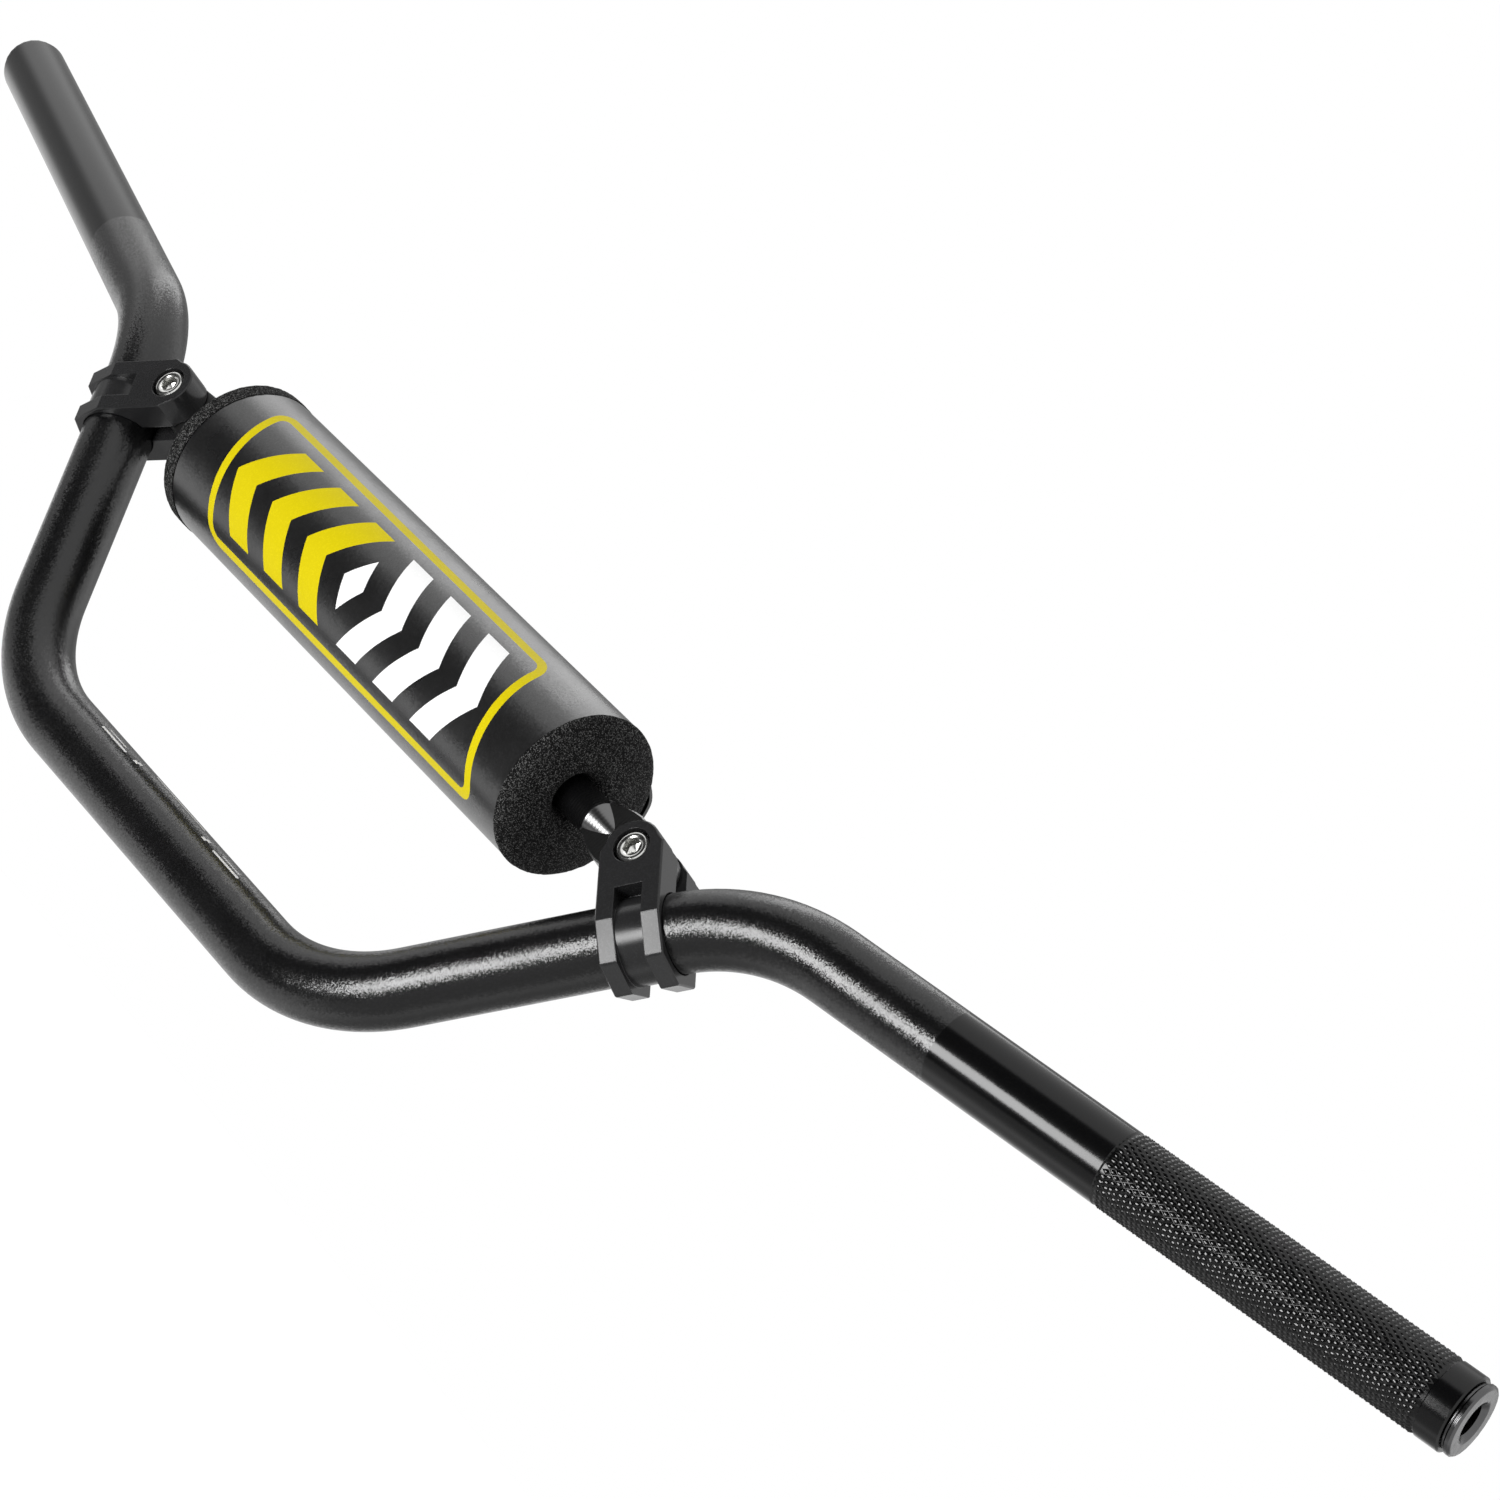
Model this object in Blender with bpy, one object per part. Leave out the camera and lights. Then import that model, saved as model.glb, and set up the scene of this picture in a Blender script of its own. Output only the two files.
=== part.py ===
"""Motocross handlebar: a bent alloy tube with a clamped crossbar and a covered foam pad.

Units are metres. The origin is the middle of the stem clamp zone, on the axis of the tube.
+X points to the rider's left, -Y forwards and +Z up, so the uprights and the crossbar lie in
the plane y = 0 and the grips sweep back towards +Y.
"""

import math

import bmesh
import bpy
from mathutils import Matrix, Vector
from mathutils.geometry import delaunay_2d_cdt

# Clearances
SEAT_GAP = 0.0003
CUT_MARGIN = 0.002
MERGE_DISTANCE = 0.000001

# Facets
TUBE_FACETS = 32
BORE_FACETS = 24
TURNED_FACETS = 32
PAD_FACETS = 48
BEND_STEP = math.radians(7.5)
ROUND_STEPS = 6
RAMP_STEPS = 3
STRIP_STEPS = 2
HEX_CORNERS = 6
SMOOTH_ANGLE = math.radians(35)

# Bent tube: corner points of the centre line, before its bends are rounded
TUBE_DIAMETER = 0.0222
TUBE_WALL = 0.004
LOWER_CORNER_X = 0.092
UPPER_CORNER_X = 0.176
RISE = 0.1065
GRIP_REACH = 0.224
GRIP_SWEEP = 0.054
GRIP_LIFT = 0.040
LOWER_BEND_RADIUS = 0.062
UPPER_BEND_RADIUS = 0.064
TUBE_END_CHAMFER = 0.0005

# Bar-end inserts
INSERT_FLANGE_DIAMETER = 0.0209
INSERT_FLANGE_THICKNESS = 0.0020
INSERT_NECK_DIAMETER = 0.0196
INSERT_NECK_LENGTH = 0.0006
INSERT_DEPTH = 0.012
INSERT_HOLE_DIAMETER = 0.0093
INSERT_COUNTERSINK_DIAMETER = 0.0120
INSERT_COUNTERSINK_DEPTH = 0.0012
INSERT_CHAMFER = 0.0005

# Crossbar clamps, measured in the frame of the upright that they grip
CLAMP_STATION = 0.1012
CLAMP_WIDTH = 0.0188
CLAMP_DEPTH = 0.027
BOLT_REACH = 0.0225
EAR_RADIUS = 0.0083
EAR_ARC_START = math.radians(15)
BAND_SHOULDER_DROP = -0.0005
BAND_FRONT_CORNER = (-0.0086, -0.0118)
BAND_LOW_CORNER = (0.0026, -0.0149)
BAND_REAR_CORNER_DROP = -0.0092
RELIEF_WIDTH = 0.0082
RELIEF_RADIUS = 0.0122
RELIEF_TOP = 0.0094
CLAMP_CHAMFER = 0.0004

# Clamp bolts, hexagon socket heads
BOLT_DIAMETER = 0.006
BOLT_HEAD_DIAMETER = 0.0098
BOLT_HEAD_HEIGHT = 0.006
BOLT_HEAD_CHAMFER = 0.0006
BOLT_HEAD_RECESS = 0.0004
BOLT_SOCKET_ACROSS_FLATS = 0.005
BOLT_SOCKET_DEPTH = 0.003
BOLT_TIP_RECESS = 0.0008
COUNTERBORE_DIAMETER = 0.011

# Crossbar: a round rod whose ends are forged flat, each flat end flaring into a bolt eye
CROSSBAR_DIAMETER = 0.0118
NOSE_LENGTH = 0.012
NOSE_END_TO_BOLT = 0.0145
NOSE_END_DIAMETER = 0.0040
TONGUE_THICKNESS = 0.006
TONGUE_ROOT_HEIGHT = 0.0096
TONGUE_HEIGHT = 0.018
EYE_DIAMETER = 0.0156
FLARE_START_TO_BOLT = 0.0298
FLARE_END_TO_BOLT = 0.0153
FLARE_STEPS = 5
TONGUE_CHAMFER = 0.0005

# Foam pad: a roll whose ends swell out past the cover
FOAM_REACH_RIGHT = 0.008
FOAM_REACH_LEFT = 0.003
FOAM_DIAMETER = 0.0486
FOAM_END_SWELL = 0.0015
FOAM_EDGE_LENGTH = 0.0025
FOAM_EDGE_DROP = 0.0050
FOAM_END_FLAT = 0.0038
FOAM_LIP_DEPTH = 0.009
FOAM_SLIT_WIDTH = 0.0008
FOAM_SLIT_ANGLE = math.radians(180)

# Pad cover, a sheet rolled round the foam and lapped over itself at the back
COVER_SHIFT = -0.0005
COVER_LENGTH = 0.193
COVER_THICKNESS = 0.001
COVER_LAP_START = math.radians(148)
COVER_LAP_WIDTH = 0.0205
COVER_RAMP_ANGLE = math.radians(22.5)
STRIP_THICKNESS = 0.0007
STRIP_WIDTH = 0.016
STRIP_END_GAP = 0.0065

# Printed fields on the cover: offsets along the pad and round it from the middle of the front
PRINT_CENTRE_ANGLE = math.radians(-10)
PRINT_END_MARGIN = 0.0118
PRINT_HEIGHT = 0.0515
PRINT_LINE = 0.0032
PRINT_CORNER_CUT = 0.0045
PRINT_SLANT = 0.24
CHEVRON_END_MARGIN = 0.0075
CHEVRON_THICKNESS = 0.0115
CHEVRON_POINT = 0.011
CHEVRON_HEIGHT = 0.036
CHEVRON_FIRST = 0.0165
CHEVRON_COUNT = 3
LOZENGE_LENGTH = 0.011
LOZENGE_HEIGHT = 0.019

# Finishes: base colour, metallic, roughness
FINISHES = {
    "satin_black_alloy": ((0.030, 0.030, 0.032), 0.6, 0.42),
    "black_anodised_clamp": ((0.045, 0.045, 0.048), 0.5, 0.38),
    "gloss_black_rod": ((0.022, 0.022, 0.024), 0.7, 0.20),
    "zinc_bolt_steel": ((0.62, 0.62, 0.60), 1.0, 0.25),
    "dark_grey_insert": ((0.11, 0.11, 0.115), 0.9, 0.35),
    "black_foam": ((0.022, 0.022, 0.023), 0.0, 0.95),
    "black_cover": ((0.025, 0.025, 0.027), 0.0, 0.45),
    "yellow_print": ((0.73, 0.61, 0.003), 0.0, 0.45),
    "white_print": ((0.85, 0.85, 0.85), 0.0, 0.45),
    "closure_tape": ((0.02, 0.02, 0.02), 0.0, 0.9),
}
COVER_GROUND = "black_cover"
COVER_COLOUR = "yellow_print"
COVER_LIGHT = "white_print"
COVER_FINISHES = [COVER_GROUND, COVER_COLOUR, COVER_LIGHT]

# Sizes that follow from the ones above
TUBE_RADIUS = TUBE_DIAMETER / 2
BORE_RADIUS = TUBE_RADIUS - TUBE_WALL
UPRIGHT_ANGLE = math.atan2(RISE, UPPER_CORNER_X - LOWER_CORNER_X)
UPRIGHT_DIRECTION = Vector((math.cos(UPRIGHT_ANGLE), 0.0, math.sin(UPRIGHT_ANGLE)))
EAR_DIRECTION = Vector((-math.sin(UPRIGHT_ANGLE), 0.0, math.cos(UPRIGHT_ANGLE)))
CLAMP_CENTRE = Vector((LOWER_CORNER_X, 0.0, 0.0)) + UPRIGHT_DIRECTION * CLAMP_STATION
BOLT_CENTRE = CLAMP_CENTRE + EAR_DIRECTION * BOLT_REACH
CROSSBAR_RADIUS = CROSSBAR_DIAMETER / 2
FOAM_LENGTH = COVER_LENGTH + FOAM_REACH_RIGHT + FOAM_REACH_LEFT
FOAM_SHIFT = COVER_SHIFT + (FOAM_REACH_LEFT - FOAM_REACH_RIGHT) / 2
STRIP_LENGTH = COVER_LENGTH - 2 * STRIP_END_GAP
FOAM_RADIUS = FOAM_DIAMETER / 2
FOAM_END_RADIUS = FOAM_RADIUS + FOAM_END_SWELL
COVER_INNER_RADIUS = FOAM_RADIUS + SEAT_GAP
COVER_OUTER_RADIUS = COVER_INNER_RADIUS + COVER_THICKNESS
LOOP_STRIP_RADIUS = COVER_OUTER_RADIUS + SEAT_GAP
HOOK_STRIP_RADIUS = LOOP_STRIP_RADIUS + STRIP_THICKNESS + SEAT_GAP
LAP_INNER_RADIUS = HOOK_STRIP_RADIUS + STRIP_THICKNESS + SEAT_GAP
LAP_ANGLE = COVER_LAP_WIDTH / LAP_INNER_RADIUS
PRINT_LENGTH = COVER_LENGTH - 2 * PRINT_END_MARGIN - PRINT_SLANT * PRINT_HEIGHT
CHEVRON_ROOM = PRINT_LENGTH / 2 - CHEVRON_END_MARGIN - CHEVRON_FIRST - CHEVRON_THICKNESS
CHEVRON_PITCH = CHEVRON_ROOM / (CHEVRON_COUNT - 1)
COVER_RAMP_START = COVER_LAP_START + 2 * math.pi - COVER_RAMP_ANGLE
PAD_FACET_ANGLE = 2 * math.pi / PAD_FACETS


def clear_scene():
    """Remove whatever the scene holds."""
    for item in list(bpy.context.scene.objects):
        bpy.data.objects.remove(item, do_unlink=True)


def finish(name):
    """Return the named material, made on first use."""
    material = bpy.data.materials.get(name)
    if material is None:
        colour, metallic, roughness = FINISHES[name]
        material = bpy.data.materials.new(name)
        material.use_nodes = True
        shader = material.node_tree.nodes["Principled BSDF"]
        shader.inputs["Base Color"].default_value = (*colour, 1.0)
        shader.inputs["Metallic"].default_value = metallic
        shader.inputs["Roughness"].default_value = roughness
    return material


def add_object(name, bm, finishes, matrix=None, parent=None):
    """Turn a bmesh into a named object, placed by its matrix under its parent."""
    bmesh.ops.recalc_face_normals(bm, faces=bm.faces)
    mesh = bpy.data.meshes.new(name)
    bm.to_mesh(mesh)
    bm.free()
    for each in finishes:
        mesh.materials.append(finish(each))
    mesh.shade_smooth()
    mesh.set_sharp_from_angle(angle=SMOOTH_ANGLE)
    item = bpy.data.objects.new(name, mesh)
    bpy.context.scene.collection.objects.link(item)
    if matrix is not None:
        item.matrix_basis = matrix
    item.parent = parent
    return item


def add_cutter(name, bm, matrix=None, parent=None):
    """Make a tool body for a Boolean, shown as wire and left out of the part."""
    cutter = add_object(name, bm, [], matrix, parent)
    cutter.hide_render = True
    cutter.display_type = "WIRE"
    return cutter


def combine(item, tool, operation):
    """Add an exact Boolean with a tool body."""
    modifier = item.modifiers.new(tool.name, "BOOLEAN")
    modifier.operation = operation
    modifier.solver = "EXACT"
    modifier.object = tool


def ring_points(centre, side, up, radius, count):
    """Points of a circle in the plane of two unit vectors."""
    angles = [2 * math.pi * index / count for index in range(count)]
    return [centre + side * (radius * math.cos(a)) + up * (radius * math.sin(a)) for a in angles]


def bridge(bm, lower, upper):
    """Join two closed rings of vertices with quads."""
    count = len(lower)
    for index in range(count):
        following = (index + 1) % count
        bm.faces.new((lower[index], lower[following], upper[following], upper[index]))


def turned_body(profile, facets):
    """Revolve a closed profile of (x, radius) points round the X axis."""
    bm = bmesh.new()
    side = Vector((0.0, 1.0, 0.0))
    up = Vector((0.0, 0.0, 1.0))
    rings = []
    for x, radius in profile:
        if radius > 0:
            points = ring_points(Vector((x, 0.0, 0.0)), side, up, radius, facets)
        else:
            points = [Vector((x, 0.0, 0.0))]
        rings.append([bm.verts.new(point) for point in points])
    for first, second in zip(rings, rings[1:] + rings[:1]):
        if len(first) > 1 and len(second) > 1:
            bridge(bm, first, second)
            continue
        tip, rim = (first, second) if len(first) == 1 else (second, first)
        if len(rim) > 1:
            for index in range(facets):
                bm.faces.new((tip[0], rim[index], rim[(index + 1) % facets]))
    return bm


def cylinder(radius, start, end, facets, axis="X"):
    """A plain cylinder along an axis, from start to end."""
    bm = turned_body([(start, 0.0), (start, radius), (end, radius), (end, 0.0)], facets)
    turns = {"X": Matrix.Identity(3), "Y": Matrix.Rotation(math.pi / 2, 3, "Z"),
             "Z": Matrix.Rotation(-math.pi / 2, 3, "Y")}
    bmesh.ops.transform(bm, matrix=turns[axis].to_4x4(), verts=bm.verts)
    return bm


def block(low, high, bm=None):
    """A box between two corners."""
    bm = bm or bmesh.new()
    made = bmesh.ops.create_cube(bm, size=1.0)["verts"]
    size = Vector(high) - Vector(low)
    middle = (Vector(high) + Vector(low)) / 2
    for vertex in made:
        vertex.co = Vector(c * s for c, s in zip(vertex.co, size)) + middle
    return bm


def extruded(outline, start, end, place):
    """Extrude a flat outline; place turns (first, second, depth) into a point."""
    bm = bmesh.new()
    lower = [bm.verts.new(place(a, b, start)) for a, b in outline]
    upper = [bm.verts.new(place(a, b, end)) for a, b in outline]
    bridge(bm, lower, upper)
    bm.faces.new(lower)
    bm.faces.new(upper)
    return bm


def joined(first, second):
    """Put the second bmesh's bodies beside the first's."""
    mesh = bpy.data.meshes.new("joined")
    second.to_mesh(mesh)
    second.free()
    first.from_mesh(mesh)
    bpy.data.meshes.remove(mesh)
    return first


def rounded_corner(before, corner, after, radius):
    """Points and directions along the arc that rounds a corner of the centre line."""
    into = (corner - before).normalized()
    out_of = (after - corner).normalized()
    turn = into.angle(out_of)
    tangent = radius * math.tan(turn / 2)
    start = corner - into * tangent
    normal = (out_of - into * into.dot(out_of)).normalized()
    steps = max(1, round(turn / BEND_STEP))
    stations = []
    for index in range(steps + 1):
        angle = turn * index / steps
        point = start + into * (radius * math.sin(angle)) + normal * (radius * (1 - math.cos(angle)))
        stations.append((point, into * math.cos(angle) + normal * math.sin(angle)))
    return stations


def tube_stations():
    """Points and directions of the tube's centre line, from its -X end to its +X end."""
    lower = Vector((LOWER_CORNER_X, 0.0, 0.0))
    upper = Vector((UPPER_CORNER_X, 0.0, RISE))
    end = upper + Vector((GRIP_REACH, GRIP_SWEEP, GRIP_LIFT))
    half = rounded_corner(Vector(), lower, upper, LOWER_BEND_RADIUS)
    half += rounded_corner(lower, upper, end, UPPER_BEND_RADIUS)
    half.append((end, (end - upper).normalized()))
    mirrored = []
    for point, direction in reversed(half):
        mirrored.append((Vector((-point.x, point.y, point.z)),
                         Vector((direction.x, -direction.y, -direction.z))))
    return mirrored + half


def swept_rings(bm, stations, radius, facets):
    """Rings of vertices square to the centre line, without twist from one to the next."""
    rings = []
    side = None
    for point, direction in stations:
        if side is None:
            side = direction.cross(Vector((0.0, 0.0, 1.0))).normalized()
        side = (side - direction * side.dot(direction)).normalized()
        up = side.cross(direction)
        rings.append([bm.verts.new(p) for p in ring_points(point, side, up, radius, facets)])
    return rings


def bent_tube():
    """The one-piece bar: an outer skin and a bore, joined at its two chamfered ends."""
    stations = tube_stations()
    first, first_direction = stations[0]
    last, last_direction = stations[-1]
    outer_stations = list(stations)
    outer_stations[0] = (first + first_direction * TUBE_END_CHAMFER, first_direction)
    outer_stations[-1] = (last - last_direction * TUBE_END_CHAMFER, last_direction)
    bm = bmesh.new()
    outer = swept_rings(bm, outer_stations, TUBE_RADIUS, TUBE_FACETS)
    faces = swept_rings(bm, [stations[0], stations[-1]], TUBE_RADIUS - TUBE_END_CHAMFER, TUBE_FACETS)
    inner = swept_rings(bm, stations, BORE_RADIUS, TUBE_FACETS)
    skin = [faces[0]] + outer + [faces[1]] + inner[::-1]
    for lower, upper in zip(skin, skin[1:] + skin[:1]):
        bridge(bm, lower, upper)
    return add_object("handlebar_tube", bm, ["satin_black_alloy"])


def bar_end_insert(name, side):
    """A turned plug in the bore, with a flange that stands proud of the tube's end."""
    shank = BORE_RADIUS - SEAT_GAP
    neck = INSERT_NECK_DIAMETER / 2
    flange = INSERT_FLANGE_DIAMETER / 2
    hole = INSERT_HOLE_DIAMETER / 2
    sink = INSERT_COUNTERSINK_DIAMETER / 2
    neck_end = SEAT_GAP + INSERT_NECK_LENGTH
    face = neck_end + INSERT_FLANGE_THICKNESS
    profile = [(-INSERT_DEPTH, hole), (-INSERT_DEPTH, shank - INSERT_CHAMFER),
               (-INSERT_DEPTH + INSERT_CHAMFER, shank), (SEAT_GAP, shank), (SEAT_GAP, neck),
               (neck_end, neck), (neck_end, flange - INSERT_CHAMFER), (neck_end + INSERT_CHAMFER, flange),
               (face - INSERT_CHAMFER, flange), (face, flange - INSERT_CHAMFER), (face, sink),
               (face - INSERT_COUNTERSINK_DEPTH, hole)]
    bm = turned_body(profile, BORE_FACETS)
    end = Vector((side * (UPPER_CORNER_X + GRIP_REACH), GRIP_SWEEP, RISE + GRIP_LIFT))
    outward = Vector((side * GRIP_REACH, GRIP_SWEEP, GRIP_LIFT))
    turn = outward.to_track_quat("X", "Z").to_matrix().to_4x4()
    return add_object(name, bm, ["dark_grey_insert"], Matrix.Translation(end) @ turn)


def clamp_outline():
    """Section of a clamp across the tube: (forward-to-back, tube-to-crossbar) points."""
    front = -CLAMP_DEPTH / 2
    rear = CLAMP_DEPTH / 2
    top = BOLT_REACH + EAR_RADIUS
    return [(front, top), (front, BAND_SHOULDER_DROP), BAND_FRONT_CORNER, BAND_LOW_CORNER,
            (rear, BAND_REAR_CORNER_DROP), (rear, top)]


def ear_outline():
    """Front view of a clamp: its sides, and the round top about the bolt."""
    half = CLAMP_WIDTH / 2
    outline = [(-half, -CLAMP_DEPTH), (half, -CLAMP_DEPTH), (half, BOLT_REACH)]
    sweep = math.pi - 2 * EAR_ARC_START
    steps = 2 * ROUND_STEPS
    for index in range(steps + 1):
        angle = EAR_ARC_START + sweep * index / steps
        outline.append((EAR_RADIUS * math.cos(angle), BOLT_REACH + EAR_RADIUS * math.sin(angle)))
    outline.append((-half, BOLT_REACH))
    return outline


def relief_cutter():
    """The ring cut out of the band's outside, from the front of the ears round to the back."""
    half = RELIEF_WIDTH / 2
    reach = CLAMP_DEPTH
    bm = turned_body([(-half, RELIEF_RADIUS), (-half, reach), (half, reach), (half, RELIEF_RADIUS)],
                     PAD_FACETS)
    geometry = bm.verts[:] + bm.edges[:] + bm.faces[:]
    cut = bmesh.ops.bisect_plane(bm, geom=geometry, plane_co=(0.0, 0.0, RELIEF_TOP),
                                 plane_no=(0.0, 0.0, 1.0), clear_outer=True)["geom_cut"]
    edges = [item for item in cut if isinstance(item, bmesh.types.BMEdge)]
    bmesh.ops.holes_fill(bm, edges=edges, sides=0)
    return bm


def crossbar_clamp(name, side):
    """A machined clamp: two ears over a split band, placed on its upright."""
    centre = Vector((side * CLAMP_CENTRE.x, 0.0, CLAMP_CENTRE.z))
    matrix = Matrix.Translation(centre) @ Matrix.Rotation(-side * UPRIGHT_ANGLE, 4, "Y")
    half = CLAMP_WIDTH / 2
    body = extruded(clamp_outline(), -half, half, lambda y, z, x: (x, y, z))
    clamp = add_object(name, body, ["black_anodised_clamp"], matrix)

    reach = CLAMP_DEPTH
    bore = TUBE_RADIUS + SEAT_GAP
    slot = TONGUE_THICKNESS / 2 + SEAT_GAP
    front = -CLAMP_DEPTH / 2
    seat = front + BOLT_HEAD_RECESS + BOLT_HEAD_HEIGHT + SEAT_GAP
    ears = extruded(ear_outline(), -reach, reach, lambda x, z, y: (x, y, z))
    combine(clamp, add_cutter(name + "_ears", ears, matrix), "INTERSECT")
    bevel = clamp.modifiers.new("edges", "BEVEL")
    bevel.width = CLAMP_CHAMFER
    bevel.segments = 1
    bevel.limit_method = "ANGLE"
    bevel.angle_limit = SMOOTH_ANGLE

    bore_cut = cylinder(bore, -reach, reach, PAD_FACETS)
    slot_cut = block((-reach, -slot, 0.0), (reach, slot, BOLT_REACH + reach))
    head_cut = cylinder(COUNTERBORE_DIAMETER / 2, front - CUT_MARGIN, seat, TURNED_FACETS, "Y")
    bolt_cut = cylinder(BOLT_DIAMETER / 2 + SEAT_GAP, -reach, reach, TURNED_FACETS, "Y")
    lift = Matrix.Translation((0.0, 0.0, BOLT_REACH))
    combine(clamp, add_cutter(name + "_relief", relief_cutter(), matrix), "DIFFERENCE")
    combine(clamp, add_cutter(name + "_bore", bore_cut, matrix), "DIFFERENCE")
    combine(clamp, add_cutter(name + "_slot", slot_cut, matrix), "DIFFERENCE")
    combine(clamp, add_cutter(name + "_counterbore", head_cut, matrix @ lift), "DIFFERENCE")
    combine(clamp, add_cutter(name + "_bolt_hole", bolt_cut, matrix @ lift), "DIFFERENCE")
    return clamp


def clamp_bolt(name, side):
    """A socket head bolt through both ears, its head sunk in the front one."""
    head = BOLT_HEAD_DIAMETER / 2
    shank = BOLT_DIAMETER / 2
    under = BOLT_HEAD_HEIGHT
    tip = CLAMP_DEPTH - BOLT_HEAD_RECESS - BOLT_TIP_RECESS
    profile = [(0.0, 0.0), (0.0, head - BOLT_HEAD_CHAMFER), (BOLT_HEAD_CHAMFER, head), (under, head),
               (under, shank), (tip - BOLT_HEAD_CHAMFER, shank), (tip, shank - BOLT_HEAD_CHAMFER),
               (tip, 0.0)]
    bm = turned_body(profile, TURNED_FACETS)
    centre = Vector((side * BOLT_CENTRE.x, -CLAMP_DEPTH / 2 + BOLT_HEAD_RECESS, BOLT_CENTRE.z))
    matrix = Matrix.Translation(centre) @ Matrix.Rotation(math.pi / 2, 4, "Z")
    bolt = add_object(name, bm, ["zinc_bolt_steel"], matrix)
    corner = BOLT_SOCKET_ACROSS_FLATS / 2 / math.cos(math.pi / HEX_CORNERS)
    socket = cylinder(corner, -CUT_MARGIN, BOLT_SOCKET_DEPTH, HEX_CORNERS)
    combine(bolt, add_cutter(name + "_socket", socket, matrix), "DIFFERENCE")
    return bolt


def crossbar_profile():
    """Half of the rod's turned outline, from the middle to the tip of its tapered nose."""
    nose_end = BOLT_CENTRE.x - NOSE_END_TO_BOLT
    return [(0.0, CROSSBAR_RADIUS), (nose_end - NOSE_LENGTH, CROSSBAR_RADIUS),
            (nose_end, NOSE_END_DIAMETER / 2), (nose_end, 0.0)]


def tongue_outline():
    """Front view of a forged end, its bolt at the origin and the rod towards -X."""
    root = TONGUE_ROOT_HEIGHT / 2
    shoulder = TONGUE_HEIGHT / 2
    eye = EYE_DIAMETER / 2
    flare = FLARE_START_TO_BOLT - FLARE_END_TO_BOLT
    upper = []
    for index in range(FLARE_STEPS + 1):
        share = index / FLARE_STEPS
        ease = (1 - math.cos(math.pi * share)) / 2
        upper.append((flare * share - FLARE_START_TO_BOLT, root + (shoulder - root) * ease))
    steps = 2 * ROUND_STEPS
    arc = []
    for index in range(steps + 1):
        angle = math.pi / 2 - math.pi * index / steps
        arc.append((eye * math.cos(angle), eye * math.sin(angle)))
    return upper + arc + [(x, -z) for x, z in reversed(upper)]


def forged_tongue(side):
    """The flat end of the crossbar on one side, with its long edges chamfered."""
    flat = TONGUE_THICKNESS / 2
    place = side * BOLT_CENTRE.x
    bm = extruded(tongue_outline(), -flat, flat, lambda x, z, y: (place + side * x, y, z))
    rims = [edge for edge in bm.edges if abs(edge.verts[0].co.y - edge.verts[1].co.y) < MERGE_DISTANCE]
    bmesh.ops.bevel(bm, geom=rims, offset=TONGUE_CHAMFER, segments=1, affect="EDGES")
    return bm


def crossbar():
    """The round rod between the clamps, with a flat tongue and a bolt eye at each end."""
    half = crossbar_profile()
    profile = [(-x, radius) for x, radius in reversed(half[1:])] + half[1:]
    matrix = Matrix.Translation((0.0, 0.0, BOLT_CENTRE.z))
    rod = add_object("crossbar", turned_body(profile, TURNED_FACETS), ["gloss_black_rod"], matrix)
    tongues = bmesh.new()
    holes = bmesh.new()
    for side in (-1, 1):
        hole = cylinder(BOLT_DIAMETER / 2 + SEAT_GAP, -EYE_DIAMETER, EYE_DIAMETER, TURNED_FACETS, "Y")
        move = Matrix.Translation((side * BOLT_CENTRE.x, 0.0, 0.0))
        bmesh.ops.transform(hole, matrix=move, verts=hole.verts)
        holes = joined(holes, hole)
        tongues = joined(tongues, forged_tongue(side))
    combine(rod, add_cutter("crossbar_tongues", tongues, matrix), "UNION")
    combine(rod, add_cutter("crossbar_holes", holes, matrix), "DIFFERENCE")
    return rod


def foam_end_profile(reach):
    """One end of the foam's outline, from its bore to its waist, where the cover starts.

    The foam stands out past the cover by the reach, and swells there.
    """
    half = FOAM_LENGTH / 2
    bore = CROSSBAR_RADIUS + SEAT_GAP
    lip = FOAM_END_RADIUS - FOAM_EDGE_DROP - FOAM_END_FLAT - bore
    waist = half - reach + SEAT_GAP
    angles = [math.pi / 2 * index / ROUND_STEPS for index in range(ROUND_STEPS + 1)]
    points = []
    for angle in angles:
        points.append((half - FOAM_LIP_DEPTH * (1 - math.sin(angle)), bore + lip * (1 - math.cos(angle))))
    for angle in angles:
        points.append((half - FOAM_EDGE_LENGTH * (1 - math.cos(angle)),
                       FOAM_END_RADIUS - FOAM_EDGE_DROP * (1 - math.sin(angle))))
    return points + [(waist, FOAM_END_RADIUS), (waist, FOAM_RADIUS)]


def foam_profile():
    """Closed outline of the foam: (along the pad, radius) points."""
    left = foam_end_profile(FOAM_REACH_LEFT)
    right = foam_end_profile(FOAM_REACH_RIGHT)
    return left + [(-x, radius) for x, radius in reversed(right)]


def pad_foam(carrier):
    """The foam roll on the crossbar, split along its back so that it can be pushed on."""
    place = Matrix.Translation((FOAM_SHIFT, 0.0, 0.0))
    foam = add_object("pad_foam", turned_body(foam_profile(), PAD_FACETS), ["black_foam"], place, carrier)
    half = FOAM_SLIT_WIDTH / 2
    slit = block((-FOAM_LENGTH, -half, 0.0), (FOAM_LENGTH, half, FOAM_DIAMETER))
    turn = Matrix.Rotation(-FOAM_SLIT_ANGLE + math.pi / 2, 4, "X")
    combine(foam, add_cutter("pad_foam_slit", slit, turn, carrier), "DIFFERENCE")
    return foam


def around_pad(radius, angle):
    """A point round the pad; the angle is 0 at the front and a quarter turn at the top."""
    return Vector((0.0, -radius * math.cos(angle), radius * math.sin(angle)))


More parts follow.
